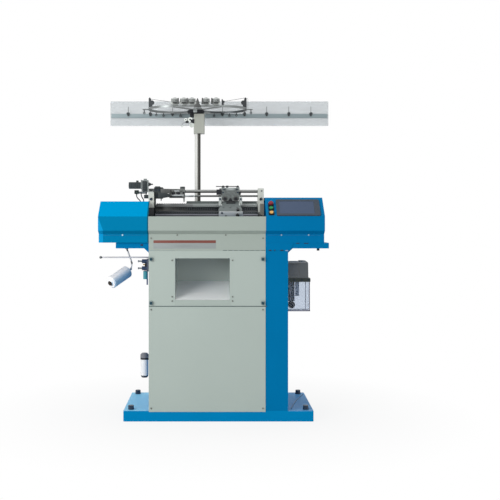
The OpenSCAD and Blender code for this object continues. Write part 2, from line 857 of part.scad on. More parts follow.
// Latch needle with its butt and hook, lying on the floor of its groove
module needle_row() {
    w = -groove_d;
    hook_v = bed_slope_l + hook_l;
    outline = [[4, w], [hook_v - 3, w], [hook_v, w + 3], [hook_v - 3, w + 6], [hook_v - 6, w + 6],
        [hook_v - 6, w + needle_h], [butt_v + butt_l, w + needle_h], [butt_v + butt_l, butt_h],
        [butt_v, butt_h], [butt_v, w + needle_h], [4, w + needle_h]];
    needle_w = groove_w - 2 * needle_clear;
    for (i = [0:needle_n - 1]) along_x(groove_x(i) - needle_w / 2, needle_w) polygon(outline);
}
module needles() {
    color([0.45, 0.46, 0.48]) {
        on_front_bed() needle_row();
        at_rear() on_front_bed() needle_row();
    }
}
module bed_rail() {
    foot_y = bed_point(0, -bed_t)[0];
    along_x(bed_left, bed_l) polygon([bed_point(0, -bed_t - bed_seat),
        bed_point(0.6 * bed_slope_l, -bed_t - bed_seat),
        [foot_y + rail_foot_w, top_z], [foot_y, top_z]]);
}
module bed_rails() {
    color(dark) {
        bed_rail();
        at_rear() bed_rail();
    }
}

// End brackets and rods
module rod_bores(clear) {
    translate([rod_y, upper_rod_z]) circle(d = upper_rod_d + 2 * clear);
    translate([rod_y, lower_rod_z]) circle(d = lower_rod_d + 2 * clear);
}
module bracket(x, w, front) {
    color(cream) difference() {
        along_x(x, w) difference() {
            polygon(concat([[rod_y - 70, top_z], [rod_y + 100, top_z], [rod_y + 70, top_z + 200],
                [rod_y + 35, bracket_top_z]], front, [[rod_y - 60, top_z + 210]]));
            rod_bores(fixed_clear);
        }
        translate([x + w / 2, rod_y - 61, lower_rod_z - 21]) rotate([-90, 0, 0]) cylinder(d = 20, h = 16);
    }
}
module left_bracket() {
    bracket(head_left, left_bracket_w, [[rod_y - 25, bracket_top_z], [rod_y - 25, motor_seat_z],
        [rod_y - 60, motor_seat_z]]);
}
module right_bracket() {
    bracket(head_right, right_bracket_w, [[rod_y - 60, bracket_top_z], [rod_y - 60, top_z + 231],
        [rod_y - 74, top_z + 231], [rod_y - 74, top_z + 163]]);
}
module guide_rods() {
    color("silver") along_x(rod_x, rod_l) rod_bores(0);
}

// Carriage
module carriage_block() {
    color([0.62, 0.63, 0.64]) along_x(body_x, body_l) difference() {
        union() {
            rounded_span([block_front_y, block_low_z], [block_back_y, block_high_z], 6);
            translate([rod_y, block_low_z]) square([ledge_back_y - rod_y, ledge_h]);
        }
        rod_bores(slide_clear);
    }
}
module cam_box() {
    on_front_bed() translate([0, 0, cam_gap]) linear_extrude(cam_t) polygon([[cam_x, 8], [cam_x + cam_w, 8],
        [cam_x + cam_w, 44], [cam_x + cam_w - cam_cut_right, cam_v], [cam_x + cam_cut_left, cam_v],
        [cam_x, 44]]);
}
// Jaw that takes hold of the belt's upper run
module belt_jaw() {
    y_out = belt_y + belt_w / 2 + jaw_clear;
    y_in = 2 * throat_y - bed_point(16, cam_gap + cam_t)[0] - 14;
    z_up = belt_top_z + belt_t + jaw_clear;
    z_down = belt_top_z - jaw_clear;
    along_x(jaw_x, jaw_l) polygon([[y_in, z_up], [y_out, z_up], [y_out, z_down],
        [belt_y - belt_w / 2, z_down], [belt_y - belt_w / 2, z_down - 8], [y_out + 5, z_down - 8],
        [y_out + 5, z_up + 9], [y_in, z_up + 9]]);
}
module cam_boxes() {
    top = cam_gap + cam_t;
    lug_x = cam_x + cam_cut_left + 6;
    lug_l = cam_w - cam_cut_left - cam_cut_right - 12;
    leg_t = 16;
    leg_y = block_front_y - leg_t;
    color([0.55, 0.56, 0.57]) {
        cam_box();
        along_x(lug_x, lug_l) polygon([bed_point(cam_v - 8, top), bed_point(cam_v - 8, top - 20),
            [block_front_y + 14, block_low_z], [block_front_y, block_low_z],
            [block_front_y, plate_low_z - 1]]);
        at_rear() {
            cam_box();
            along_x(lug_x, lug_l) polygon([bed_point(cam_v - 20, top - 10), bed_point(cam_v - 4, top - 10),
                [2 * throat_y - ledge_back_y + 20, block_low_z], [2 * throat_y - ledge_back_y, block_low_z]]);
        }
        along_y(leg_y, leg_t) {
            rounded_span([block_x + 3, block_low_z - 42], [plate_x - 1, block_low_z + 14], 5);
            rounded_span([plate_x + plate_w + 1, block_low_z - 42],
                [block_x + carriage_l, block_low_z + 14], 5);
        }
        for (x = [block_x + 11, block_x + carriage_l - 10])
            along_y(leg_y - 6, 7) translate([x, block_low_z]) circle(d = 18);
        belt_jaw();
    }
}
module carriage_plate() {
    ear_w = 26;
    z_high = block_high_z - 4;
    color([0.6, 0.6, 0.58]) along_y(block_front_y - plate_t, plate_t) difference() {
        union() {
            rounded_span([plate_x, plate_low_z], [plate_x + plate_w, z_high - 14], 8);
            for (x = [plate_x, plate_x + plate_w - ear_w])
                rounded_span([x, z_high - 36], [x + ear_w, z_high], 6);
        }
        for (x = [plate_x + 19, plate_x + plate_w - 19]) translate([x, knob_z]) circle(d = 12);
    }
}
module carriage_fittings() {
    post_z = block_high_z + 8;
    color(dark) {
        for (x = [plate_x + 19, plate_x + plate_w - 19])
            translate([x, block_front_y - plate_t, knob_z]) rotate([90, 0, 0]) {
                translate([0, 0, -plate_t]) cylinder(d = 11, h = plate_t + merge);
                cylinder(d1 = 20, d2 = 16, h = 11);
            }
        on_front_bed() translate([cam_x + cam_w - 24, 24, cam_gap + cam_t]) cylinder(d = 18, h = 12);
        along_x(body_x - 10, 10) translate([rod_y, upper_rod_z]) difference() {
            circle(d = upper_rod_d + 16);
            circle(d = upper_rod_d + 2 * slide_clear);
        }
        along_y(block_front_y - 12, 12) {
            rounded_span([block_x - 11, lower_rod_z + 6], [plate_x - 2, upper_rod_z + 10], 3);
            rounded_span([plate_x + plate_w + 2, lower_rod_z + 6],
                [block_x + carriage_l - 8, lower_rod_z + 26], 3);
        }
        for (x = [block_x + 30, block_x + 120])
            translate([x, rod_y, block_high_z]) cylinder(d = 9, h = post_z - block_high_z + 4);
        along_x(block_x - 14, carriage_l - 8) translate([rod_y, post_z]) circle(d = 5);
        along_x(block_x + 48, 14) rounded_span([rod_y - 7, block_high_z], [rod_y + 7, post_z + 5], 2);
    }
}

// Yarn feeder on the same rods, with its stop block
module feeder_slider() {
    pin_x = feeder_left + feeder_l - 6;
    pin_y = rod_y - 6;
    color([0.66, 0.67, 0.68]) {
        along_x(feeder_left, feeder_l) difference() {
            rounded_span([rod_y - 22, feeder_low_z], [rod_y + 22, feeder_high_z], 5);
            rod_bores(slide_clear);
        }
        translate([pin_x, pin_y, feeder_pin_low_z]) cylinder(d1 = 4, d2 = 8, h = 8);
        translate([pin_x, pin_y, feeder_pin_low_z + 8])
            cylinder(d = 8, h = feeder_low_z - feeder_pin_low_z - 7);
        translate([feeder_left + feeder_l - 15, rod_y, feeder_high_z - merge])
            cylinder(d = 30, h = 14 + merge);
        for (x = [feeder_left + 12, feeder_left + 62]) along_x(x, 14)
            translate([rod_y - 22, upper_rod_z]) circle(d = 16);
    }
}
module stop_block() {
    color(dark) {
        along_x(stop_x, stop_l) difference() {
            rounded_span([rod_y - 35, feeder_low_z - 4], [rod_y + 35, block_high_z + 2], 8);
            rod_bores(fixed_clear);
        }
        along_x(stop_x, bed_left - stop_x - 2) translate([rod_y - 24, feeder_low_z - 48]) square([20, 50]);
        along_x(stop_x + stop_l - merge, 5 + merge) translate([rod_y, upper_rod_z]) difference() {
            circle(d = upper_rod_d + 18);
            circle(d = upper_rod_d + 2 * fixed_clear);
        }
    }
}

// Feeder motor on its bracket
module feeder_motor() {
    color(dark) {
        along_x(motor_face_x - motor_l, motor_l)
            translate([motor_y, motor_z]) rounded_rect(motor_w, motor_w, 5);
        along_x(motor_face_x - merge, 24 + merge) translate([motor_y, motor_z]) circle(d = 8);
        along_x(motor_face_x - motor_l - 4, 4 + merge) translate([motor_y, motor_z]) circle(d = 20);
    }
}
module motor_bracket() {
    y_low = rod_y - 59;
    y_high = rod_y - 26;
    strip_high = motor_seat_z + 4;
    top = motor_z + motor_w / 2 + 12;
    upright_2 = motor_face_x + 36;
    color(steel) {
        along_z(motor_seat_z, strip_high - motor_seat_z)
            rounded_span([head_left - 76, y_low], [head_left + left_bracket_w - 3, y_high], 3);
        along_x(motor_face_x, upright_t) difference() {
            translate([y_low, motor_seat_z]) square([y_high - y_low, top - motor_seat_z]);
            translate([motor_y, motor_z]) circle(d = 9);
        }
        along_x(upright_2, upright_t)
            translate([y_low, motor_seat_z]) square([y_high - y_low, top - motor_seat_z]);
        translate([motor_face_x, y_low, top - 5]) cube([36 + upright_t, y_high - y_low, 5]);
        translate([motor_face_x + 22, motor_y, top - merge]) cylinder(d = 20, h = 9 + merge, $fn = 6);
        translate([head_left - 74, y_low + 1, motor_seat_z]) rotate([-90, 0, 0])
            cylinder(d = sensor_d, h = y_high - y_low - 2);
    }
}
module motor_leads() {
    color([0.1, 0.1, 0.1]) for (p = [lead_a, lead_b]) tube([for (q = p) lead_at + q], lead_d / 2);
}

// Carriage drive
module pulley(x) {
    low_y = belt_y - pulley_w / 2;
    along_y(low_y - merge, pulley_w + 2 * merge) translate([x, pulley_z]) circle(pulley_r);
    for (y = [low_y - pulley_flange_t, low_y + pulley_w])
        along_y(y, pulley_flange_t) translate([x, pulley_z]) circle(pulley_r + belt_t + 1);
}
module drive_motor() {
    bore_d = drive_shaft_d + 2 * belt_clear;
    y_body = mount_plate_y + mount_plate_t;
    shoe_low = pulley_z - belt_in_r - belt_t - 8;
    color(dark) difference() {
        union() {
            along_y(mount_plate_y, mount_plate_t)
                translate([drive_mid - 45, top_z]) square([90, pulley_z + 50 - top_z]);
            translate([drive_mid - 70, belt_y - belt_w / 2, shoe_low])
                cube([30, mount_plate_y + mount_plate_t - belt_y + belt_w / 2, 8]);
            along_y(y_body - merge, drive_motor_l + merge) translate([drive_mid, pulley_z])
                rounded_rect(drive_motor_w, drive_motor_w, 10);
        }
        along_y(mount_plate_y - 1, shaft_depth + 1) translate([drive_mid, pulley_z]) circle(d = bore_d);
    }
}
module drive_pulley() {
    color(steel) {
        pulley(drive_mid);
        along_y(belt_y, mount_plate_y + shaft_depth - belt_y)
            translate([drive_mid, pulley_z]) circle(d = drive_shaft_d);
    }
}
module idler_bracket() {
    pin_y = belt_y - pulley_w / 2 - pulley_flange_t - 2;
    boss_y = belt_y + pulley_w / 2 + pulley_flange_t;
    color(steel) {
        along_y(mount_plate_y, mount_plate_t)
            rounded_span([idler_mid - 35, top_z], [idler_mid + 35, pulley_z + 35], 4);
        along_y(pin_y, mount_plate_y - pin_y + 1) translate([idler_mid, pulley_z]) circle(d = idler_pin_d);
        along_y(pin_y - 3, 3 + merge) translate([idler_mid, pulley_z]) circle(d = idler_pin_d + 8);
        along_y(boss_y, mount_plate_y - boss_y) translate([idler_mid, pulley_z]) circle(d = idler_pin_d + 8);
    }
}
module idler_pulley() {
    color(steel) difference() {
        pulley(idler_mid);
        along_y(belt_y - pulley_w, 2 * pulley_w) translate([idler_mid, pulley_z])
            circle(d = idler_pin_d + 2 * belt_clear);
    }
}
module drive_belt() {
    span = drive_mid - idler_mid;
    color([0.1, 0.1, 0.1]) along_y(belt_y - belt_w / 2, belt_w)
        translate([(drive_mid + idler_mid) / 2, pulley_z])
        difference() {
            stadium(span, belt_in_r + belt_t);
            stadium(span, belt_in_r);
        }
}

// Yarn stand
module stand_post() {
    color("silver") translate([post_x, post_y, top_z]) {
        cylinder(d = post_d, h = collar_low_h + collar_h);
        cylinder(d = 2.4 * post_d, h = 14);
    }
}
module stand_collar() {
    color(cream) along_z(collar_z, collar_h) difference() {
        translate([post_x + collar_shift, post_y]) rounded_rect(collar_w, collar_d, 6);
        translate([post_x, post_y]) circle(d = post_d + 2 * fixed_clear);
    }
}
module yarn_hoop() {
    color([0.45, 0.46, 0.47]) translate([post_x, post_y, 0]) {
        along_z(hoop_low_z, hoop_h) difference() {
            stadium(hoop_straight, hoop_r);
            stadium(hoop_straight, hoop_r - hoop_t);
        }
        translate([0, 0, collar_top_z]) cylinder(d = hub_d, h = hub_h);
        for (side = [-1, 1]) along_x(side > 0 ? hoop_end - 2 : -hoop_end - hoop_arm_l + 2, hoop_arm_l)
            translate([0, hoop_low_z + hoop_h / 2]) circle(d = 8);
        for (x = [-1, 1], y = [-1, 1]) {
            reach = [x * hoop_straight / 2, y * hoop_mid_r];
            rotate([0, 0, atan2(reach[1], reach[0])]) translate([0, -spoke_w / 2, hoop_low_z])
                cube([norm(reach), spoke_w, spoke_t]);
        }
    }
}
// Yarn tension unit: a clamp on the hoop, a stem and a pair of sprung discs
module tension_unit() {
    stem_h = 40;
    translate([0, 0, -4]) difference() {
        along_z(0, 14) rounded_rect(28, 24, 3);
        translate([-30, -hoop_t / 2 - fixed_clear, -1]) cube([60, hoop_t + 2 * fixed_clear, 5]);
    }
    along_z(9, stem_h - 9) rounded_rect(14, 8, 2);
    along_y(-11, 3) translate([0, stem_h - 14]) circle(d = disc_d);
    along_y(-16, 3) translate([0, stem_h - 14]) circle(d = disc_d);
    along_y(-24, 30) translate([0, stem_h - 14]) circle(d = 7);
}
// Dark plate that stands on the hoop, with a bulge towards the middle
module tension_flag(side, k = 1) {
    outline = [[0, 0], [26, 0], [24, 24], [14, 62], [6, 70], [0, 62]];
    along_y(-3, 6) {
        polygon([for (p = outline) k * [side * p[0], p[1]]]);
        translate(k * [side * 22, 36]) circle(14 * k);
    }
}
module tension_units() {
    color([0.4, 0.4, 0.41]) translate([post_x, post_y, hoop_top_z]) {
        for (x = unit_places) translate([x, -hoop_depth(x), 0]) tension_unit();
        for (side = [-1, 1]) translate([side * hoop_end, 0, 0]) tension_flag(-side);
        translate([hoop_straight / 2, -hoop_mid_r, 0]) tension_flag(1, 0.55);
    }
}
module yarn_eyelets() {
    eyelet_h = 16;
    roller_z = collar_z + 0.7 * collar_h;
    collar_left = post_x + collar_shift - collar_w / 2;
    roller_y = post_y - collar_d / 2 + 6;
    color([0.3, 0.31, 0.33]) {
        for (x = eyelet_places) translate([post_x + x, post_y + hoop_depth(x), hoop_low_z - eyelet_h]) {
            cylinder(d = 6, h = eyelet_h);
            rotate([90, 0, 0]) ring(6, 2);
        }
        for (x = [-1, 1] * (hoop_end + hoop_arm_l - 12))
            translate([post_x + x, post_y, hoop_low_z - eyelet_h]) {
                cylinder(d = 6, h = eyelet_h + hoop_h / 2 - 4);
                rotate([90, 0, 0]) ring(6, 2);
            }
        translate([collar_left - 58, roller_y, roller_z - 5]) cube([58, 8, 10]);
        for (p = [[-50, 10], [-22, 15]]) translate([collar_left + p[0], roller_y - 2, roller_z])
            rotate([90, 0, 0]) difference() {
                cylinder(r = p[1], h = 10, center = true);
                cylinder(r = p[1] * 0.4, h = 12, center = true);
            }
    }
}

// Guide board
module guide_board() {
    color([0.82, 0.84, 0.86, 0.6]) along_y(board_y, board_t)
        rounded_span([-board_left, board_z], [board_right, board_z + board_h], board_r);
}
module guide_rail() {
    arm_w = 30;
    color([0.5, 0.55, 0.56]) {
        translate([-board_left + 8, rail_front_y, rail_z])
            cube([board_left + board_right - 16, rail_d, rail_h]);
        translate([post_x - arm_w / 2, post_y + collar_d / 2, rail_z - 8])
            cube([arm_w, rail_front_y + 1 - post_y - collar_d / 2, 20]);
        translate([post_x + collar_shift - collar_w / 2, post_y + collar_d / 2, collar_top_z - 60])
            cube([collar_w, 8, 52]);
    }
}
module rail_guides() {
    color([0.35, 0.36, 0.38]) for (x = guide_places) translate([x, rail_front_y, rail_z]) {
        along_y(-8, 8) rounded_span([-6, rail_h - 16], [6, rail_h + 6], 3);
        translate([0, -4, rail_h + 5]) cylinder(d = 3, h = 42);
        translate([0, -10, rail_h]) rotate([90, 0, 0]) ring(8, 2.4);
    }
}

// Oil pump
module oil_pump_head() {
    flange_h = 22;
    chamfer = 8;
    body_w = pump_w - 8;
    mid = [pump_x + pump_w / 2 + 3, pump_y];
    top = pump_z + pump_h;
    intake = [pump_x + 44, pump_y];
    color([0.25, 0.26, 0.27]) {
        along_z(pump_z, flange_h) translate(mid) rounded_rect(pump_w + 6, pump_d + 6, 8);
        along_y(pump_y - pump_d / 2 + 3, pump_d - 6) polygon([[pump_x, pump_z], [pump_x + body_w + 2, pump_z],
            [pump_x + body_w, top - chamfer], [pump_x + body_w - chamfer, top], [pump_x + chamfer, top],
            [pump_x, top - chamfer]]);
        translate([pump_x + body_w - 40, pump_y, top - 1]) cylinder(d = 34, h = 7);
        along_z(tank_z + 58, tank_h - 57) translate(intake) rounded_rect(40, 30, 6);
        translate([intake[0], pump_y - 14, tank_z + 36]) rotate([-90, 0, 0]) cylinder(d = 44, h = 28);
        along_z(tank_z + 90, tank_h - 89) translate(intake + [36, 0]) rounded_rect(24, 8, 2);
    }
}
module oil_tank() {
    r = 8;
    mid = [pump_x + pump_w / 2 + 3, pump_y];
    outer = [pump_w - 2, pump_d - 2];
    color([0.8, 0.8, 0.88, 0.5]) difference() {
        along_z(tank_z, tank_h) translate(mid) rounded_rect(outer[0], outer[1], r);
        along_z(tank_z + tank_t, tank_h) translate(mid)
            rounded_rect(outer[0] - 2 * tank_t, outer[1] - 2 * tank_t, r - tank_t);
    }
}

// Air fittings on the column's left side
module valve_block() {
    elbow_z = valve_z - valve_h / 2;
    color([0.5, 0.52, 0.54]) {
        difference() {
            along_x(side_x - valve_t, valve_t)
                rounded_span([air_y - 30, elbow_z], [air_y + 30, elbow_z + valve_h], 5);
            for (z = [-1, 1]) along_x(side_x - valve_t - 1, knob_depth + 1)
                translate([air_y, valve_z + z * knob_gap / 2]) circle(d = knob_stem_d + 2 * knob_clear);
        }
        translate([side_x - valve_t - muffler_d / 2 + 5, air_y, elbow_z - muffler_h]) {
            cylinder(d = muffler_d, h = muffler_h - 3);
            translate([10, 0, -34]) cylinder(d = 9, h = 36);
        }
        translate([side_x - valve_t - muffler_d + 8, air_y - 14, elbow_z - 4])
            cube([valve_t + muffler_d - 8, 28, 4 + merge]);
    }
}
module valve_knob(z) {
    face_x = side_x - valve_t - knob_clear;
    color(dark) {
        along_x(face_x - knob_l, knob_l) translate([air_y, z]) circle(d = knob_d);
        along_x(face_x - knob_l - knob_reach, knob_reach + knob_l + knob_depth)
            translate([air_y, z]) circle(d = knob_stem_d);
        along_x(face_x - knob_l - knob_reach, 5) translate([air_y, z]) circle(d = knob_stem_d + 4);
    }
}
module valve_knob_upper() valve_knob(valve_z + knob_gap / 2);
module valve_knob_lower() valve_knob(valve_z - knob_gap / 2);
module air_filter() {
    mid = side_x - filter_gap - bowl_d / 2;
    color(dark) {
        translate([mid, air_y, filter_z]) cylinder(d = bowl_d + 4, h = filter_head_h);
        translate([mid, air_y, filter_z + filter_head_h - merge])
            cylinder(d1 = bowl_d, d2 = bowl_d - 12, h = 8 + merge);
        translate([side_x - filter_gap - 8, air_y - 14, filter_z]) cube([filter_gap + 8, 28, filter_head_h]);
    }
}
module filter_bowl() {
    mid = side_x - filter_gap - bowl_d / 2;
    wall = 3;
    color([0.9, 0.9, 0.86]) translate([mid, air_y, filter_z - bowl_h]) rotate_extrude()
        polygon([[0, 0], [bowl_d / 2 - 6, 0], [bowl_d / 2, 12], [bowl_d / 2, bowl_h],
            [bowl_d / 2 - wall, bowl_h], [bowl_d / 2 - wall, 14], [0, 14]]);
}

// Bobbin on its arm, and the side rod
module along_spindle() {
    translate(bobbin_far) rotate([0, acos(bobbin_axis[2]), atan2(bobbin_axis[1], bobbin_axis[0])]) children();
}
module side_rods() {
    flange_t = 8;
    color(steel) {
        bar_between(arm_top - [0, 0, flange_t / 2], arm_bend, arm_d);
        translate(arm_bend) sphere(d = arm_d);
        bar_between(arm_bend, arm_foot, arm_d);
        translate(arm_foot) sphere(d = arm_d + 4);
        translate(arm_top - [0, 0, flange_t]) cylinder(d = 2.2 * arm_d, h = flange_t);
        along_spindle() {
            translate([0, 0, -spindle_tail]) cylinder(d = spindle_d, h = bobbin_l + spindle_tail + 6);
            translate([0, 0, -6]) cylinder(d = spindle_d + 12, h = 6 - bobbin_clear);
            translate([0, 0, bobbin_l + bobbin_clear]) cylinder(d = spindle_d + 8, h = 7);
        }
        translate([side_x, air_y, side_rod_z]) rotate([0, -90, 0]) {
            cylinder(d = side_rod_d, h = side_rod_l);
            cylinder(d = 14, h = 8);
            translate([0, 0, side_rod_l]) sphere(d = 16);
        }
    }
}
module yarn_bobbin() {
    bore_r = spindle_d / 2 + bobbin_clear;
    edge = 6;
    color("white") along_spindle() rotate_extrude() polygon([[bore_r, 0], [bobbin_r * 0.45, 0],
        [bobbin_r * 0.45, edge], [bobbin_r - edge, edge], [bobbin_r, 2 * edge],
        [bobbin_r, bobbin_l - 2 * edge],
        [bobbin_r - edge, bobbin_l - edge], [bobbin_r * 0.45, bobbin_l - edge], [bobbin_r * 0.45, bobbin_l],
        [bore_r, bobbin_l]]);
}

base_plinth();
levelling_bolts();
left_frame_panel();
right_frame_panel();
back_panel();
bed_table();
left_cover();
right_cover();
upper_front_cover();
middle_front_panel();
lower_front_panel();
glove_chute();
latch_upper_left();
latch_upper_right();
latch_lower_left();
latch_lower_right();
panel_screws();
control_bezels();
display_screen();
stop_button();
start_button();
jog_button();
bed_rails();
front_needle_bed();
rear_needle_bed();
needles();
left_bracket();
right_bracket();
guide_rods();
carriage_block();
cam_boxes();
carriage_plate();
carriage_fittings();
feeder_slider();
stop_block();
feeder_motor();
motor_bracket();
motor_leads();
drive_motor();
drive_pulley();
idler_bracket();
idler_pulley();
drive_belt();
stand_post();
stand_collar();
yarn_hoop();
tension_units();
yarn_eyelets();
guide_board();
guide_rail();
rail_guides();
oil_pump_head();
oil_tank();
valve_block();
valve_knob_upper();
valve_knob_lower();
air_filter();
filter_bowl();
side_rods();
yarn_bobbin();
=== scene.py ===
# %% [markdown]
# ## A glove knitting machine, dressed for the camera
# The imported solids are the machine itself: every panel, rod and bracket is already in
# its place, in metres. This lesson leaves them where they are, gives each one the finish
# of the real machine, and adds the small trim that is easier to model here.

# %% Load the frame
import math

import bpy
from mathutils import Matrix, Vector


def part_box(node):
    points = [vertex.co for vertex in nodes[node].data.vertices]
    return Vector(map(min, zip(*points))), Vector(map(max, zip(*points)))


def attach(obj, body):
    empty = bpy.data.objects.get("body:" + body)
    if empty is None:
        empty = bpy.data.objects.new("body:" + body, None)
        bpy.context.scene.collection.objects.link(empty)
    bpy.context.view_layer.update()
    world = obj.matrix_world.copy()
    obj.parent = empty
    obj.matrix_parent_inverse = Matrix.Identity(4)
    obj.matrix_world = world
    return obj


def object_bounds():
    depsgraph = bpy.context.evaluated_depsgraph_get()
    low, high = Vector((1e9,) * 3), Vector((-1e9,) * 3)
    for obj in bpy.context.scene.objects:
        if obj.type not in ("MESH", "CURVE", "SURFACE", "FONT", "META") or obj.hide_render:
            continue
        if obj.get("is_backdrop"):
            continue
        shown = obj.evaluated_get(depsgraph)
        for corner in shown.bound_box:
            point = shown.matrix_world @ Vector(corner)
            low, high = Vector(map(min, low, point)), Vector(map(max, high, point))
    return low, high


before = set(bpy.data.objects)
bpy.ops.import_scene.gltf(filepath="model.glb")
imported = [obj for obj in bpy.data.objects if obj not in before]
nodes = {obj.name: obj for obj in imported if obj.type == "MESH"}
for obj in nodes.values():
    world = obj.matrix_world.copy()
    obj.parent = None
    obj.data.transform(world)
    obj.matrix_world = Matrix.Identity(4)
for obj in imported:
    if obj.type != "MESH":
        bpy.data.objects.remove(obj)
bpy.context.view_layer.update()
bpy.ops.object.select_all(action="DESELECT")

# %% [markdown]
# ## The camera
# The photograph looks straight at the front from a little above the table, and its upright
# edges stay parallel. A camera that is tipped down would make them lean, so this one is
# level, and a lens shift moves the machine to its place in the picture. The numbers come
# from the perspective of the plinth and the covers.

# %% Camera
scene = bpy.context.scene
eye = Vector((-0.029, -5.7, 1.153))
level = (math.pi / 2, 0, 0)
picture_px = 500
focal_px = 918
axis_px = (213.5, 225.5)
sensor_mm = 36
sight_m = 60
bpy.ops.object.camera_add(location=eye, rotation=level)
camera = bpy.context.object
camera.name = "photo_camera"
view = camera.data
view.sensor_width = sensor_mm
view.lens = focal_px / picture_px * sensor_mm
view.shift_x = 0.5 - axis_px[0] / picture_px
view.shift_y = axis_px[1] / picture_px - 0.5
view.clip_end = sight_m
scene.camera = camera
scene.view_settings.view_transform = "Standard"
print("lens", round(view.lens, 1), "shift", round(view.shift_x, 3), round(view.shift_y, 3))

# %% [markdown]
# ## Floor, background and light
# The photograph is a cut-out on white, with almost no shadow on the floor. Stronger lamps
# would give that white, but would bleach the paint too. A white world and a floor that is
# mostly self-lit to the camera give it with no more light on the machine: Light Path tells
# what kind of ray asks, so the sky that lights the machine stays at a plain level. Close to
# the plinth the floor keeps a faint shadow.

# %% Node helpers
def add_node(tree, kind, **settings):
    """A shader node with its properties and inputs set from the keywords."""
    node = tree.nodes.new("ShaderNode" + kind)
    for label, value in settings.items():
        if hasattr(node, label):
            setattr(node, label, value)
        else:
            node.inputs[label.replace("_", " ")].default_value = value
    return node


def link(source, target):
    """Joins two sockets of one node tree."""
    source.id_data.links.new(source, target)


def math_node(tree, operation, a, b):
    """A Math node from sockets or numbers."""
    node = add_node(tree, "Math", operation=operation)
    for slot, value in zip(node.inputs, (a, b)):
        if isinstance(value, (int, float)):
            slot.default_value = value
        else:
            link(value, slot)
    return node.outputs[0]


def point(tree):
    """Where the shaded point lies, in Object coordinates."""
    return add_node(tree, "TexCoord").outputs["Object"]


# %% Stage helpers
def seen_directly(tree):
    """1 for what the camera sees, also through clear plastic and in gloss."""
    path = add_node(tree, "LightPath")
    seen = path.outputs["Is Camera Ray"]
    for kind in ("Is Transmission Ray", "Is Glossy Ray"):
        seen = math_node(tree, "MAXIMUM", seen, path.outputs[kind])
    return seen


def choose(tree, factor, first, second):
    """The first shader where the factor is 0, and the second where it is 1."""
    mix = add_node(tree, "MixShader")
    for slot, source in zip(mix.inputs, (factor, first.outputs[0], second.outputs[0])):
        link(source, slot)
    return mix


# %% World
pure_white = (1, 1, 1, 1)
sky_strength = 0.5
white_strength = 1
world = bpy.data.worlds.new("white_studio")
scene.world = world
world.use_nodes = True
tree = world.node_tree
tree.nodes.clear()
sky = add_node(tree, "Background", Color=pure_white, Strength=sky_strength)
white = add_node(tree, "Background", Color=pure_white, Strength=white_strength)
shown = choose(tree, seen_directly(tree), sky, white)
out = add_node(tree, "OutputWorld")
link(shown.outputs[0], out.inputs["Surface"])
print("world", world.name, "lights at", sky_strength)

# %% Floor
floor_size = 30
floor_place = (0, 6, -0.0005)
floor_grey = (0.7, 0.7, 0.7, 1)
shadow_near = 0.5
shadow_far = 1.6
glow_near = 0.86
bpy.ops.mesh.primitive_plane_add(size=floor_size, location=floor_place)
floor = bpy.context.object
floor.name = "studio_floor"
bpy.ops.object.transform_apply(location=True)
floor_finish = bpy.data.materials.new("floor_white")
floor_finish.use_nodes = True
tree = floor_finish.node_tree
tree.nodes.clear()
plain = add_node(tree, "BsdfDiffuse", Color=floor_grey)
glow = add_node(tree, "Emission")
reach = add_node(tree, "VectorMath", operation="LENGTH")
fade = add_node(tree, "MapRange", From_Min=shadow_near, From_Max=shadow_far, To_Min=glow_near)
link(point(tree), reach.inputs[0])
link(reach.outputs["Value"], fade.inputs["Value"])
near = choose(tree, fade.outputs["Result"], plain, glow)
shown = choose(tree, seen_directly(tree), plain, near)
out = add_node(tree, "OutputMaterial")
link(shown.outputs[0], out.inputs["Surface"])
floor.data.materials.append(floor_finish)
floor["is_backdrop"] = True
print("floor", floor.name, floor_size, "m wide")

# %% Lamps
lamp_aim = Vector((0, 0, 1))
lamps = (("key_lamp", (-3.2, -3.8, 2.2), 2.4, 128),
         ("fill_lamp", (2.4, -4.6, 0.9), 2.4, 32),
         ("top_lamp", (-0.6, 0.4, 4.2), 2.6, 34))
for name, spot, width, watts in lamps:
    bpy.ops.object.light_add(type="AREA", location=spot)
    lamp = bpy.context.object
    lamp.name = name
    lamp.rotation_euler = (lamp_aim - Vector(spot)).to_track_quat("-Z", "Y").to_euler()
    lamp.data.size = width
    lamp.data.energy = watts
    print(name, watts, "W")

# %% [markdown]
# ## Shared effects for the finishes
# Paint, metal and plastic all need the same few things: a grain that breaks the gloss, a
# slow change of tone, edges that have been rubbed and carry a painted highlight, a little dust
# where a surface faces up, and a way to say where on the machine another tone, or painted
# light and shade, begins. Each could be drawn again in every material. Here each effect is
# one node group, built once, and every material places it with its own values.

# %% Group helpers
def new_group(name, inputs, outputs=("Mask",)):
    """An empty node group with float inputs and its two end nodes."""
    group = bpy.data.node_groups.new(name, "ShaderNodeTree")
    for label, value in inputs.items():
        socket = group.interface.new_socket(label, in_out="INPUT", socket_type="NodeSocketFloat")
        socket.default_value = value
    for label in outputs:
        group.interface.new_socket(label, in_out="OUTPUT", socket_type="NodeSocketFloat")
    print("group", name)
    return group, group.nodes.new("NodeGroupInput"), group.nodes.new("NodeGroupOutput")


def normal(tree):
    """The way the surface looks at that point."""
    return add_node(tree, "NewGeometry").outputs["Normal"]


def noise(tree, scale, where=None, **settings):
    """Noise on Object coordinates or other ones, with its scale taken from a socket."""
    node = add_node(tree, "TexNoise", **settings)
    link(where or point(tree), node.inputs["Vector"])
    link(scale, node.inputs["Scale"])
    return node.outputs["Fac"]


def dot(tree, a, b):
    """How far the vector a reaches along b."""
    node = add_node(tree, "VectorMath", operation="DOT_PRODUCT")
    link(a, node.inputs[0])
    link(b, node.inputs[1])
    return node.outputs["Value"]


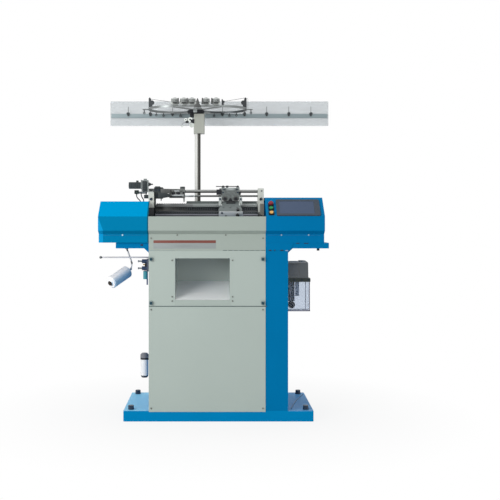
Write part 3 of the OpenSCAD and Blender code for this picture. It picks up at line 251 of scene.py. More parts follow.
# %% Grain: fine relief and slow tone
grain, start, end = new_group("grain", {"Grain Scale": 700, "Tone Scale": 3}, ("Height", "Tone"))
fine = noise(grain, start.outputs["Grain Scale"], Detail=2.0, Roughness=0.55)
slow = noise(grain, start.outputs["Tone Scale"], Detail=3.0, Roughness=0.5)
link(fine, end.inputs["Height"])
link(slow, end.inputs["Tone"])

# %% Edge rub and painted highlight: where a bevelled normal leaves the true one
bend_gain = 6.0
break_gain = 1.4
edge_rub_highlight, start, end = new_group("edge_rub_highlight", {"Width": 0.003, "Break Scale": 60})
bevel = add_node(edge_rub_highlight, "Bevel", samples=4)
link(start.outputs["Width"], bevel.inputs["Radius"])
agree = dot(edge_rub_highlight, bevel.outputs["Normal"], normal(edge_rub_highlight))
# The rubbed edges are lightened both as wear and as a painted highlight.
bent = math_node(edge_rub_highlight, "MULTIPLY", math_node(edge_rub_highlight, "SUBTRACT", 1.0, agree), bend_gain)
broken = noise(edge_rub_highlight, start.outputs["Break Scale"], Detail=4.0)
broken = math_node(edge_rub_highlight, "MULTIPLY", broken, break_gain)
rubbed_highlight = math_node(edge_rub_highlight, "MULTIPLY", bent, broken)
link(math_node(edge_rub_highlight, "MINIMUM", rubbed_highlight, 1.0), end.inputs["Mask"])

# %% Dust: a thin veil on faces that look up
dust, start, end = new_group("dust", {"Patch Scale": 14})
parts = add_node(dust, "SeparateXYZ")
link(normal(dust), parts.inputs[0])
upward = math_node(dust, "MAXIMUM", parts.outputs["Z"], 0.0)
settled = noise(dust, start.outputs["Patch Scale"], Detail=5.0, Roughness=0.65)
link(math_node(dust, "MULTIPLY", upward, settled), end.inputs["Mask"])

# %% Brush lines: noise squeezed into streaks along X
streaks = (6, 900, 900)
brush_x, start, end = new_group("brush_along_x", {"Line Scale": 1.0}, ("Height", "Tone"))
squeeze = add_node(brush_x, "Mapping", Scale=streaks)
link(point(brush_x), squeeze.inputs["Vector"])
lines = noise(brush_x, start.outputs["Line Scale"], squeeze.outputs["Vector"], Detail=3.0, Roughness=0.6)
for label in ("Height", "Tone"):
    link(lines, end.inputs[label])

# %% Place: inside a box whose open sides lie far away
far_away = 9
limits = {}
for axis in "XYZ":
    limits[axis + " Low"] = -far_away
    limits[axis + " High"] = far_away
inside, start, end = new_group("inside_box", limits)
parts = add_node(inside, "SeparateXYZ")
link(point(inside), parts.inputs[0])
mask = 1.0
for axis in "XYZ":
    above = math_node(inside, "GREATER_THAN", parts.outputs[axis], start.outputs[axis + " Low"])
    below = math_node(inside, "LESS_THAN", parts.outputs[axis], start.outputs[axis + " High"])
    mask = math_node(inside, "MULTIPLY", mask, math_node(inside, "MULTIPLY", above, below))
link(mask, end.inputs["Mask"])

# %% Place: turned towards a direction, or beyond a plane
def direction(tree, start):
    """The group's own X, Y and Z as one vector."""
    node = add_node(tree, "CombineXYZ")
    for axis in "XYZ":
        link(start.outputs[axis], node.inputs[axis])
    return node.outputs[0]


def clamped(tree, value):
    """The value held between 0 and 1."""
    return math_node(tree, "MINIMUM", math_node(tree, "MAXIMUM", value, 0.0), 1.0)


facing, start, end = new_group("facing", {"X": 0.0, "Y": 0.0, "Z": 0.0})
turn = dot(facing, normal(facing), direction(facing, start))
link(clamped(facing, turn), end.inputs["Mask"])

beyond, start, end = new_group("beyond_plane", {"X": 0.0, "Y": 0.0, "Z": 0.0, "Far": 0.0, "Soft": 0.0005})
reach = dot(beyond, point(beyond), direction(beyond, start))
over = math_node(beyond, "SUBTRACT", reach, start.outputs["Far"])
share = math_node(beyond, "DIVIDE", over, start.outputs["Soft"])
link(clamped(beyond, share), end.inputs["Mask"])

# %% [markdown]
# ## The finishes
# A finish starts from one colour. Two tones of it are mixed by the slow noise, patches of
# other tones are laid where the real piece has them or where light and shade are painted, the
# edge rub with its painted highlight and the dust go over that, and the grain goes into
# roughness and a bump. A painted picture could hold all this, but noise on Object
# coordinates needs no file and stays sharp close up.

# %% Colours and patches
def srgb(r, g, b):
    """A colour given as 0 to 255, as the linear values that shaders want."""
    def linear(v):
        v /= 255
        return v / 12.92 if v <= 0.04045 else ((v + 0.055) / 1.055) ** 2.4
    return (linear(r), linear(g), linear(b), 1)


def shade(colour, k):
    """The colour made darker or lighter by the factor k."""
    return tuple(min(1, c * k) for c in colour[:3]) + (1,)


def zone(colour, **limits):
    """A patch of the colour inside a box."""
    return inside, limits, srgb(*colour)


def side(colour, **way):
    """A patch of the colour on faces that are turned that way."""
    return facing, way, srgb(*colour)


def past(colour, **plane):
    """A patch of the colour beyond a plane."""
    return beyond, plane, srgb(*colour)


# %% Finish helpers
finishes = {}


def new_finish(name, roughness, metallic=0.0):
    """A material with one Principled BSDF, its tree and that shader."""
    finishes[name] = bpy.data.materials.new(name)
    finishes[name].use_nodes = True
    tree = finishes[name].node_tree
    shader = tree.nodes["Principled BSDF"]
    shader.inputs["Roughness"].default_value = roughness
    shader.inputs["Metallic"].default_value = metallic
    print("finish", name)
    return tree, shader


def place(tree, group, **values):
    """The group as a node, with its own values."""
    return add_node(tree, "Group", node_tree=group, **values)


def mix_colour(tree, factor, a, b):
    """Colour a where the factor is 0, and b where it is 1."""
    node = add_node(tree, "Mix", data_type="RGBA")
    link(factor, node.inputs["Factor"])
    for label, value in (("A", a), ("B", b)):
        socket = [s for s in node.inputs if s.name == label and s.type == "RGBA"][0]
        if isinstance(value, tuple):
            socket.default_value = value
        else:
            link(value, socket)
    return [s for s in node.outputs if s.type == "RGBA"][0]


def worn_and_lit(tree, pattern, colour, tone, patches, rub_highlight_width, rub_highlight, bright):
    """Two tones of the colour, the patches over them, and rubbed edges with a painted highlight over both."""
    base = mix_colour(tree, pattern.outputs["Tone"], shade(colour, 1 - tone), shade(colour, 1 + tone))
    for group, values, other in patches:
        base = mix_colour(tree, place(tree, group, **values).outputs["Mask"], base, other)
    edges = place(tree, edge_rub_highlight, Width=rub_highlight_width).outputs["Mask"]
    return mix_colour(tree, math_node(tree, "MULTIPLY", edges, rub_highlight), base, shade(colour, bright))


def gloss_range(tree, shader, factor, low, high):
    """Roughness that follows the factor from low to high."""
    node = add_node(tree, "MapRange", To_Min=low, To_Max=high)
    link(factor, node.inputs["Value"])
    link(node.outputs["Result"], shader.inputs["Roughness"])


def relief(tree, shader, height, depth):
    """A bump of that depth in metres on the shader's normal."""
    bump = add_node(tree, "Bump", Strength=1.0, Distance=depth)
    link(height, bump.inputs["Height"])
    link(bump.outputs["Normal"], shader.inputs["Normal"])


# %% Painted or moulded skin
dust_tone = srgb(205, 203, 196)
gloss_swing = 0.07


def painted(name, colour, roughness=0.5, grain_scale=700, depth=0.00012, tone=0.06, tone_scale=3.0,
            dusty=0.06, rub_highlight=0.2, gloss=0.3, patches=()):
    """Sprayed or plastic skin: grain, two close tones, rubbed edges with a painted highlight, and a little
    dust.
    """
    tree, shader = new_finish(name, roughness)
    pattern = place(tree, grain, Grain_Scale=grain_scale, Tone_Scale=tone_scale)
    base = worn_and_lit(tree, pattern, srgb(*colour), tone, patches, rub_highlight_width=0.0025, rub_highlight=rub_highlight, bright=1.7)
    veil = place(tree, dust).outputs["Mask"]
    base = mix_colour(tree, math_node(tree, "MULTIPLY", veil, dusty), base, dust_tone)
    link(base, shader.inputs["Base Color"])
    gloss_range(tree, shader, pattern.outputs["Height"], roughness - gloss_swing, roughness + gloss_swing)
    shader.inputs["Specular IOR Level"].default_value = gloss
    relief(tree, shader, pattern.outputs["Height"], depth)


# %% Bare metal
def metal(name, colour, roughness, lines=None, depth=0.00003, tone=0.12, patches=(), matt=None):
    """Bare metal: brush lines or a fine grain, and edges that shine. A matt box has an oxide skin."""
    tree, shader = new_finish(name, roughness, 1.0)
    pattern = place(tree, lines) if lines else place(tree, grain, Grain_Scale=450.0, Tone_Scale=20.0)
    if matt:
        skin = place(tree, inside, **matt).outputs["Mask"]
        link(math_node(tree, "SUBTRACT", 1.0, skin), shader.inputs["Metallic"])
    base = worn_and_lit(tree, pattern, srgb(*colour), tone, patches, rub_highlight_width=0.0015, rub_highlight=0.4, bright=1.5)
    link(base, shader.inputs["Base Color"])
    gloss_range(tree, shader, pattern.outputs["Height"], max(0.03, roughness - 0.1), roughness + 0.1)
    relief(tree, shader, pattern.outputs["Height"], depth)


# %% Clear plastic
clear_ior = 1.2
handling_depth = 0.00004


def clear_sheet(name, colour, roughness, transmission):
    """Clear plastic: a tinted pane with faint handling marks in its gloss."""
    tree, shader = new_finish(name, roughness)
    shader.inputs["Base Color"].default_value = srgb(*colour)
    shader.inputs["Transmission Weight"].default_value = transmission
    shader.inputs["IOR"].default_value = clear_ior
    pattern = place(tree, grain, Grain_Scale=40.0, Tone_Scale=6.0)
    gloss_range(tree, shader, pattern.outputs["Tone"], max(0.02, roughness - 0.05), roughness + 0.08)
    relief(tree, shader, pattern.outputs["Height"], handling_depth)


# %% Blue paints
enamel = {"grain_scale": 420, "depth": 0.0001}
# The colour of the left chamfer facet, lighter as a painted highlight where the lamp falls on it.
lit_facet_blue = (16, 150, 206)
apron_blue = (4, 122, 168)
painted("blue_enamel", (0, 115, 170), 0.38, dusty=0, gloss=0.015, **enamel)
# The plinth's upward faces are painted lighter as a painted reflection of the bright room, and the top of its
# right end is painted darker as shade.
painted("plinth_blue", (0, 131, 188), 0.38, dusty=0.02, gloss=0.02, **enamel, patches=[
    side((150, 222, 255), Z=1), zone((98, 166, 220), X_Low=0.41, Z_Low=0.0605)])
# The cover's upward faces are painted lighter as light falling on them, the left chamfer facet is a painted
# highlight, and the strip along the right end is painted shade at the joint with the column; the apron zones
# keep the plain blue.
painted("cover_blue", apron_blue, 0.38, dusty=0, gloss=0, **enamel, patches=[
    side((0, 148, 204), Z=1.4), past(lit_facet_blue, X=-1, Z=-0.361, Far=0.2686),
    zone(apron_blue, X_Low=-0.679, Z_High=1.1195), zone(apron_blue, Y_Low=-0.302, Z_High=1.2),
    zone((14, 96, 124), X_Low=-0.418)])

# %% Grey and cream paints
powder = {"grain_scale": 620, "depth": 0.0002, "tone": 0.035}
painted("grey_powder", (172, 184, 178), **powder)
painted("cover_grey", (160, 171, 164), **powder)
# The chute's floor, which faces up, is painted near white as the light falling on it, and its walls keep a
# darker base as painted shade.
painted("chute_paint", (176, 186, 182), grain_scale=620, depth=0.0001, tone=0.03, patches=[
    side((252, 254, 253), Z=2.2), zone((166, 178, 172), Y_High=-0.3015)])
painted("cream_enamel", (174, 177, 168), 0.4, tone=0.03)
painted("bracket_cream", (208, 211, 203), 0.4, patches=[
    zone((74, 76, 78), X_High=-0.2, Z_High=1.262), zone((96, 99, 100), X_High=-0.2, Z_Low=1.354),
    zone((120, 122, 118), X_Low=0.2, Z_High=1.235),
    zone((132, 130, 122), X_Low=0.253, Z_High=1.2856)])
painted("stripe_print", (118, 66, 58), tone=0.08)
painted("pale_plate", (196, 202, 205), 0.4, tone=0.05)
painted("lid_grey", (168, 170, 170), 0.45, tone=0.1)

# %% Small plain finishes
# The seam and fold colours in this table are painted shade for gaps and folds; the others are the parts' own
# colours.
plain_paints = {
    "field_print": ((140, 147, 147), 0.5), "flange_grey": ((138, 144, 144), 0.45),
    "seam_shade": ((70, 86, 86), 0.6), "plinth_line_blue": ((28, 84, 124), 0.5), "fold_shade_blue": ((4, 92, 138), 0.45),
    "latch_dark": ((18, 40, 74), 0.5), "rib_grey": ((150, 150, 166), 0.4),
    "pale_mark_blue": ((150, 172, 202), 0.4), "core_card": ((58, 52, 48), 0.7)}
for name, (colour, roughness) in plain_paints.items():
    painted(name, colour, roughness)

# %% Latches: a dark middle on each
latches = "latch_upper_left latch_upper_right latch_lower_left latch_lower_right"
mark_x = (-0.008, 0.006)
mark_z = (-0.009, 0.007)
latch_marks = []
for name in latches.split():
    low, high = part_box(name)
    x = (low[0] + high[0]) / 2
    z = (low[2] + high[2]) / 2
    latch_marks.append(zone((22, 62, 76), X_Low=x + mark_x[0], X_High=x + mark_x[1],
                            Z_Low=z + mark_z[0], Z_High=z + mark_z[1]))
painted("latch_plastic", (138, 152, 152), 0.4, grain_scale=1500, gloss=0.2, patches=latch_marks)

# %% Plastics and rubber
painted("black_moulded", (40, 42, 46), grain_scale=1400, depth=0.0001, dusty=0.1, gloss=0.15)
painted("bezel_plastic", (60, 70, 82), 0.55, grain_scale=1600, depth=0.0001, gloss=0.1, patches=[
    zone((22, 28, 30), X_High=0.334)])
buttons = {"stop_red": (132, 32, 46), "start_green": (30, 138, 72), "jog_yellow": (224, 172, 92)}
for name, colour in buttons.items():
    painted(name, colour, 0.4, tone=0.03, dusty=0.03, gloss=0.15)
painted("lead_rubber", (34, 36, 40), 0.6, grain_scale=2200, dusty=0.1, rub_highlight=0.05)
painted("pump_plastic", (122, 125, 125), grain_scale=900, gloss=0.2, patches=[
    zone((66, 80, 90), Z_High=0.806, X_High=0.472),
    zone((150, 160, 174), Z_High=0.806, X_Low=0.472), zone((16, 20, 36), Z_High=0.6855),
    zone((64, 72, 68), Z_Low=0.806, Z_High=0.829)])
painted("pump_dark", (116, 119, 120), grain_scale=900, gloss=0.2)
painted("knob_plastic", (42, 62, 92), 0.45, grain_scale=1500, patches=[zone((126, 132, 134), X_High=-0.4575)])
painted("motor_grey", (54, 60, 62), grain_scale=1200, tone=0.3, tone_scale=60, gloss=0.2)
painted("filter_black", (34, 38, 44), 0.45, grain_scale=1500, patches=[zone((122, 124, 130), Z_Low=0.362)])
painted("ceramic_white", (214, 219, 214), 0.25, tone=0.03)

# %% Needle beds and guide rods
metal("front_bed_steel", (94, 95, 93), 0.36, brush_x, matt={"Z_Low": 1.267}, patches=[
    past((22, 26, 30), X=1, Far=-0.29, Soft=0.12), zone((98, 101, 102), Z_Low=1.236, Z_High=1.243),
    zone((40, 44, 48), Z_Low=1.222, Z_High=1.236), zone((88, 90, 96), Z_High=1.222),
    zone((122, 125, 126), Z_Low=1.267), zone((140, 147, 146), X_Low=-0.155, Z_Low=1.267)])
painted("rear_bed_steel", (146, 148, 146), tone=0.1, tone_scale=12, gloss=0.05, patches=[
    zone((92, 100, 98), Z_Low=1.2875)])
metal("needle_steel", (70, 74, 78), 0.4, patches=[zone((104, 108, 108), Z_Low=1.267)])
painted("rail_black", (58, 62, 64), tone=0.12, gloss=0.2)
# The rods' undersides are painted darker as shade.
metal("bright_rod", (136, 138, 137), 0.26, brush_x, depth=0.00001, patches=[
    side((60, 62, 62), Z=-1.4), zone((92, 94, 94), X_High=-0.2)])

# %% Carriage and feeder alloys
metal("cast_alloy", (150, 156, 156), 0.5, depth=0.0001)
painted("plate_alloy", (104, 110, 109), grain_scale=240, depth=0.0005, tone=0.75, tone_scale=75)
painted("feeder_alloy", (104, 108, 106), grain_scale=300, depth=0.0003, tone=0.8, tone_scale=70)
leg_pale = (196, 203, 200)
painted("cam_alloy", (102, 110, 110), depth=0.0002, tone=0.15, tone_scale=30, patches=[
    zone(leg_pale, X_High=0.0225, Y_High=-0.0875, Z_Low=1.275),
    zone(leg_pale, X_Low=0.1255, Y_High=-0.0875, Z_Low=1.275)])
painted("sensor_green", (48, 60, 56), tone=0.2, tone_scale=50)
metal("sensor_steel", (176, 182, 180), 0.4, patches=[
    zone((58, 70, 68), X_High=-0.484), zone((120, 126, 126), Z_Low=1.362)])

# %% Yarn stand metals
# A painted stand-in for chrome: a pale base for its bright reflection, and painted shade on the side turned
# right.
painted("chrome_post", (222, 222, 217), 0.3, tone=0.02, patches=[side((66, 65, 60), X=2.2, Y=-0.5)])
# The hoop's downward faces are painted darker as shade.
metal("hoop_steel", (132, 136, 136), 0.4, patches=[
    zone((28, 29, 32), Z_High=1.8858, Y_High=0.19), zone((84, 88, 90), X_Low=-0.05, Y_Low=0.2),
    side((66, 70, 72), Z=-1)])
metal("rail_alloy", (128, 140, 143), 0.45, brush_x)
metal("unit_steel", (128, 132, 130), 0.45, tone=0.2, patches=[
    zone((70, 73, 75), X_High=-0.4), zone((66, 68, 70), X_Low=0.015)])
metal("eyelet_steel", (74, 78, 80), 0.5, patches=[
    zone((214, 219, 214), X_Low=-0.225, X_High=-0.158, Y_High=0.1208, Z_Low=1.805, Z_High=1.845)])
painted("mottled_plate", (160, 164, 162), grain_scale=240, depth=0.0003, tone=0.5, tone_scale=140)
painted("dish_steel", (132, 136, 134), 0.35, tone=0.55, tone_scale=110, patches=[
    zone((62, 64, 64), Z_High=1.9165), zone((186, 189, 188), Z_Low=1.934)])
painted("stand_grey", (84, 86, 85), 0.45, tone=0.25, tone_scale=60)

# %% Screws and side fittings
metal("dark_oxide", (74, 78, 80), 0.5)
metal("brass", (196, 160, 92), 0.35)
metal("zinc_screw", (206, 208, 206), 0.35)
metal("satin_steel", (176, 180, 180), 0.38, brush_x)
painted("black_bolt", (34, 52, 72), 0.4, grain_scale=900, dusty=0.1)
# The screws on the left cover are painted pale as a highlight.
metal("panel_screw", (118, 122, 118), 0.4, patches=[
    zone((170, 198, 212), X_High=-0.42), zone((120, 150, 172), X_Low=0.3, Y_High=-0.25),
    zone((30, 34, 40), X_Low=0.55, Z_High=1.03)])
metal("rod_steel", (196, 196, 202), 0.4, patches=[
    zone((204, 206, 208), Y_Low=-0.15), zone((70, 74, 78), Y_Low=-0.15, Z_Low=0.996),
    zone((92, 96, 98), Y_Low=-0.15, Z_Low=0.916, Z_High=0.934), zone((96, 100, 102), X_High=-0.694),
    zone((66, 60, 54), Y_High=-0.205, Z_High=0.83)])
painted("valve_alloy", (84, 88, 100), 0.45, patches=[
    zone((70, 150, 160), Z_High=0.879), zone((96, 104, 130), Z_High=0.829)])

# %% Clear plastics, yarn and screen
clear_sheet("board_acrylic", (220, 224, 226), 0.2, 0.6)
clear_sheet("tank_clear", (226, 232, 240), 0.08, 0.95)
painted("bowl_clear", (240, 242, 244), 0.35, grain_scale=300, tone=0.03, patches=[
    zone((70, 76, 84), Z_High=0.257)])
# The yarn's lower right side is painted blue-grey as shade.
painted("yarn_white", (250, 251, 254), 0.85, grain_scale=900, depth=0.0006, tone=0.02, dusty=0, patches=[
    side((140, 182, 214), X=0.98, Y=-0.42, Z=-0.65)])
painted("screen_face", (74, 88, 112), 0.4, grain_scale=300, depth=0.00001, tone=0.05, dusty=0.02, rub_highlight=0,
        gloss=0.05)

# %% [markdown]
# ## Giving the solids their finish
# The solids come in with a plain colour each. A thin skin over every one could carry its
# paint, but the solid's own material slot does it with no extra faces, so every node gets
# the finish of its real counterpart there. The node's own mesh stays as it is.

# %% Finishes for the nodes
dressed = {
    "plinth_blue": "base_plinth",
    "blue_enamel": "left_frame_panel right_frame_panel back_panel bed_table right_cover",
    "cover_blue": "left_cover", "cover_grey": "upper_front_cover",
    "grey_powder": "middle_front_panel lower_front_panel", "chute_paint": "glove_chute",
    "satin_steel": "idler_bracket", "sensor_steel": "motor_bracket", "rod_steel": "side_rods",
    "rail_alloy": "guide_rail", "rail_black": "bed_rails", "dark_oxide": "rail_guides",
    "unit_steel": "tension_units", "eyelet_steel": "yarn_eyelets", "black_bolt": "levelling_bolts",
    "latch_plastic": latches, "panel_screw": "panel_screws", "bezel_plastic": "control_bezels",
    "screen_face": "display_screen", "stop_red": "stop_button", "start_green": "start_button",
    "jog_yellow": "jog_button", "front_bed_steel": "front_needle_bed",
    "rear_bed_steel": "rear_needle_bed", "needle_steel": "needles",
    "bracket_cream": "left_bracket right_bracket", "cream_enamel": "stand_collar",
    "bright_rod": "guide_rods", "chrome_post": "stand_post",
    "cast_alloy": "carriage_block drive_pulley idler_pulley", "feeder_alloy": "feeder_slider",
    "plate_alloy": "carriage_plate", "cam_alloy": "cam_boxes", "valve_alloy": "valve_block",
    "black_moulded": "carriage_fittings drive_motor", "motor_grey": "stop_block feeder_motor",
    "filter_black": "air_filter", "knob_plastic": "valve_knob_upper valve_knob_lower",
    "lead_rubber": "motor_leads drive_belt", "hoop_steel": "yarn_hoop", "board_acrylic": "guide_board",
    "pump_plastic": "oil_pump_head", "tank_clear": "oil_tank", "bowl_clear": "filter_bowl",
    "yarn_white": "yarn_bobbin"}
for finish, names in dressed.items():
    for name in names.split():
        slots = nodes[name].data.materials
        slots.clear()
        slots.append(finishes[finish])
print("dressed", sum(len(names.split()) for names in dressed.values()), "of", len(nodes))

# %% [markdown]
# ## Tools for the small trim
# The trim is modelled as at the bench: a primitive is added at its place, then extruded,
# tapered or bevelled in edit mode. Every piece could repeat those steps in full. A few
# short helpers keep them the same everywhere: a block with broken edges, a turned piece, a
# wire along points and a coil spring. Sizes are written in millimetres, as on a drawing,
# and turned into metres here.

# %% Bench helpers
one_mm = 0.001
front, back = (0, -1, 0), (0, 1, 0)
left, right = (-1, 0, 0), (1, 0, 0)
up, down = (0, 0, 1), (0, 0, -1)


def mm(*values):
    """Millimetres to metres."""
    return Vector(values) * one_mm


def pick(*pieces):
    """Selects just these pieces, with the first one active."""
    bpy.ops.object.select_all(action="DESELECT")
    for piece in reversed(pieces):
        piece.select_set(True)
        bpy.context.view_layer.objects.active = piece


def settle(piece, name):
    """Names the piece and puts its place into its mesh."""
    piece.name = name
    piece.data.name = name
    bpy.ops.object.transform_apply(location=True, rotation=True, scale=True)
    return piece


def edit(kind, action):
    """Edit mode on faces or edges, with all or none of them selected."""
    bpy.ops.object.mode_set(mode="EDIT")
    bpy.ops.mesh.select_mode(type=kind)
    bpy.ops.mesh.select_all(action=action)


def leave_edit():
    """Back to object mode, so that the mesh can be read."""
    bpy.ops.object.mode_set(mode="OBJECT")


# %% Block
def block(name, low, high, edge=1.0, taper=None):
    """A block between two corners with broken edges. A taper is a face's direction and its scale."""
    pick()
    low, high = mm(*low), mm(*high)
    bpy.ops.mesh.primitive_cube_add(size=1, location=(low + high) / 2)
    piece = bpy.context.object
    piece.scale = high - low
    settle(piece, name)
    if taper:
        way, scale = taper
        edit("FACE", "DESELECT")
        leave_edit()
        face = max(piece.data.polygons, key=lambda f: f.normal.dot(Vector(way)))
        face.select = True
        middle = face.center.copy()
        bpy.ops.object.mode_set(mode="EDIT")
        bpy.ops.transform.resize(value=scale, center_override=middle)
        leave_edit()
    edit("EDGE", "SELECT")
    bpy.ops.mesh.bevel(offset=edge * one_mm, segments=2, affect="EDGES")
    leave_edit()
    return piece


# %% Turned piece
def aim(piece, foot, axis):
    """Turns a piece built up the Z axis to the axis and sets it on its foot."""
    piece.rotation_euler = Vector(axis).to_track_quat("Z", "Y").to_euler()
    piece.location = mm(*foot)
    return settle(piece, piece.name)


def turned(name, profile, foot, axis=up, sides=20):
    """A turned piece: each step of the profile, radius and height, is extruded from the last."""
    pick()
    radius, height = profile[0]
    bpy.ops.mesh.primitive_circle_add(vertices=sides, radius=radius * one_mm, fill_type="NGON",
                                      location=(0, 0, height * one_mm))
    piece = settle(bpy.context.object, name)
    edit("FACE", "SELECT")
    for (r0, z0), (r1, z1) in zip(profile, profile[1:]):
        bpy.ops.mesh.extrude_region_move(TRANSFORM_OT_translate={"value": (0, 0, (z1 - z0) * one_mm)})
        bpy.ops.transform.resize(value=(r1 / r0, r1 / r0, 1), center_override=(0, 0, z1 * one_mm))
    bpy.ops.mesh.select_all(action="SELECT")
    bpy.ops.mesh.normals_make_consistent(inside=False)
    leave_edit()
    return aim(piece, foot, axis)


# %% Wire and coil
coil_steps = 14
merge_m = 0.00001


def wire(name, points, thick):
    """A round wire of that thickness through the points, as a mesh."""
    pick()
    bpy.ops.curve.primitive_nurbs_path_add(location=(0, 0, 0))
    curve = bpy.context.object.data
    curve.splines.clear()
    line = curve.splines.new("POLY")
    line.points.add(len(points) - 1)
    for knot, spot in zip(line.points, points):
        knot.co = (*mm(*spot), 1)
    curve.bevel_depth = thick / 2 * one_mm
    curve.bevel_resolution = 1
    curve.use_fill_caps = True
    bpy.ops.object.convert(target="MESH")
    return settle(bpy.context.object, name)


def coil(name, foot, axis, radius, thick, turns, length):
    """A coil spring: a small ring swept by a Screw modifier."""
    pick()
    bpy.ops.mesh.primitive_circle_add(vertices=6, radius=thick / 2 * one_mm, location=mm(radius, 0, 0),
                                      rotation=(math.pi / 2, 0, 0))
    piece = settle(bpy.context.object, name)
    sweep = piece.modifiers.new("sweep", "SCREW")
    sweep.screw_offset = length * one_mm / turns
    sweep.iterations = turns
    sweep.steps = sweep.render_steps = coil_steps
    bpy.ops.object.modifier_apply(modifier="sweep")
    edit("FACE", "SELECT")
    bpy.ops.mesh.remove_doubles(threshold=merge_m)
    bpy.ops.mesh.normals_make_consistent(inside=False)
    leave_edit()
    return aim(piece, foot, axis)


# %% Washer and cap screw
def washer(name, outer, inner, thick, foot, axis=front, sides=24, rim=0.4, sunk=0.3):
    """A ring with a rounded rim: a disc whose middle is inset and sunk to a thin floor."""
    return turned(name, [(outer - rim, 0), (outer, rim), (outer, thick - rim), (outer - rim, thick),
                         (inner, thick), (inner, sunk)], foot, axis, sides)


def cap_screw(name, radius, height, foot, axis=front, chamfer=0.6, mouth=0.55, bottom=0.5, sunk=0.45):
    """A cap screw: a chamfered head with a sunk socket, given in shares of the head."""
    return turned(name, [(radius, 0), (radius, height - chamfer), (radius - chamfer, height),
                         (radius * mouth, height), (radius * bottom, height * sunk)], foot, axis, sides=12)


# %% Copies and dressing
here = (0, 0, 0)
smooth_angle = math.radians(40)


def join(pieces, name=None):
    """Several meshes as one piece, named like the first unless a name is given."""
    pick(*pieces)
    if len(pieces) > 1:
        bpy.ops.object.join()
    pieces[0].name = name or pieces[0].name
    return pieces[0]


def repeat(piece, shifts):
    """Copies of the piece at the shifts, in millimetres, as one piece."""
    name = piece.name
    copies = []
    for shift in shifts:
        pick(piece)
        bpy.ops.object.duplicate(linked=False)
        copy = bpy.context.object
        copy.location = mm(*shift)
        copies.append(settle(copy, name))
    bpy.data.objects.remove(piece)
    return join(copies, name)


def row(step, count):
    """Shifts along X, the first one at the piece's own place."""
    return [(step * i, 0, 0) for i in range(count)]


def strip(name, spans, low, high, edge):
    """Flat blocks over the spans in X, all between low and high in Y and Z."""
    return join([block(name, (a, *low), (b, *high), edge) for a, b in spans])


def dress(piece, finish, body="machine"):
    """Smooth shading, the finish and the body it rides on."""
    pick(piece)
    bpy.ops.object.shade_smooth_by_angle(angle=smooth_angle)
    piece.data.materials.clear()
    piece.data.materials.append(finishes[finish])
    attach(piece, body)
    print(piece.name, "on", body, len(piece.data.polygons), "faces")


def screws(name, radius, height, foot, shifts=(here,), axis=front, finish="black_bolt",
           body="machine"):
    """Cap screws at the foot and its shifts, dressed as one piece."""
    dress(repeat(cap_screw(name, radius, height, foot, axis), shifts), finish, body)


# %% [markdown]
# ## The plain label fields
# The grey cover carries a narrow coloured stripe with a plain field under it. Patches in the
# cover's paint could show them, but thin foil plates that lie on the sheet keep a crisp
# edge and a gloss of their own.

# %% Label fields
dress(block("label_stripe", (-382, -303.5, 1050), (-15, -303, 1066), 0.15), "stripe_print")
dress(block("label_field", (-382, -303.4, 1017), (-15, -303, 1049), 0.15), "field_print")

# %% [markdown]
# ## Carriage trim
# The cam plate is held by cap screws and carries two black knobs with grey washers and a
# black release cam under them. A pale foot plate with a small knob closes the cam box. The
# cam box lies on the slope of the needle bed, so a piece on it is drawn flat and then tilted
# onto the bed, which is easier to measure than a slanted block. All of it rides on the
# carriage.

# %% The bed's slope
slope = math.radians(35)
bed_foot_y = -180.42
bed_foot_z = 1200.68


def on_bed(x, v, w):
    """A point over the front bed, in millimetres: along it, up its slope and above its face."""
    return (x, bed_foot_y + v * math.cos(slope) - w * math.sin(slope),
            bed_foot_z + v * math.sin(slope) + w * math.cos(slope))


def tilt_to_bed(piece):
    """Takes a piece drawn flat, with its Y up the slope, onto the front bed."""
    piece.rotation_euler = (slope, 0, 0)
    piece.location = mm(*on_bed(0, 0, 0))
    return settle(piece, piece.name)


down_bed = (0, -math.cos(slope), -math.sin(slope))
off_bed = (0, -math.sin(slope), math.cos(slope))
print("bed foot", [round(v, 1) for v in on_bed(0, 0, 0)])

# %% Foot plate
foot = tilt_to_bed(block("cam_foot_plate", (3, 2.5, 6), (147, 7.8, 39), 1.2))
dress(foot, "pale_plate", "carriage")
profile = [(7, 0), (7, 2), (4, 3), (4, 6), (10, 8), (10.4, 12), (10, 16), (8, 18), (3, 18.4)]
knob = turned("cam_foot_knob", profile, on_bed(115, 2.6, 23), down_bed)
dress(knob, "black_moulded", "carriage")
screws("cam_foot_screw", 6, 4, on_bed(22, 2.6, 33), axis=down_bed, body="carriage")
screws("cam_foot_stud", 5.5, 4, on_bed(45, 2.6, 13), axis=down_bed, finish="cast_alloy", body="carriage")

# %% Plate screws, washers and release cam
corners = [here, (78, 0, 0), (-6, 0, -18), (84, 0, -18)]
screws("plate_screws", 4.5, 4, (35, -106, 1372), corners, body="carriage")
ring = washer("knob_washers", 15.5, 10.4, 2.4, (41, -106, 1315.9))
dress(repeat(ring, row(66, 2)), "stand_grey", "carriage")
cam = tilt_to_bed(block("release_cam", (48, 100, 34.2), (104, 127, 41), 1.5, (back, (0.5, 1, 1))))
peak = block("release_peak", (62, -110, 1303), (86, -106.1, 1319), 1, (up, (0.4, 1, 1)))
dress(join([cam, peak]), "black_moulded", "carriage")

# %% Leg screws, finials and slots
screws("leg_screws", 6, 4, (11, -110, 1314), row(125, 2), body="carriage")
cap = turned("rod_finials", [(9.5, 0), (9.5, 2), (5, 11), (1.5, 13)], (30, -60, 1386), sides=16)
dress(repeat(cap, row(90, 2)), "black_moulded", "carriage")
slot = block("leg_slots", (19, -105.4, 1284), (22, -104, 1308), 0.4)
dress(repeat(slot, row(106, 2)), "black_moulded", "carriage")
screws("cam_box_screws", 5, 3.4, on_bed(30, 60, 34), row(42, 3), off_bed, "cam_alloy", body="carriage")

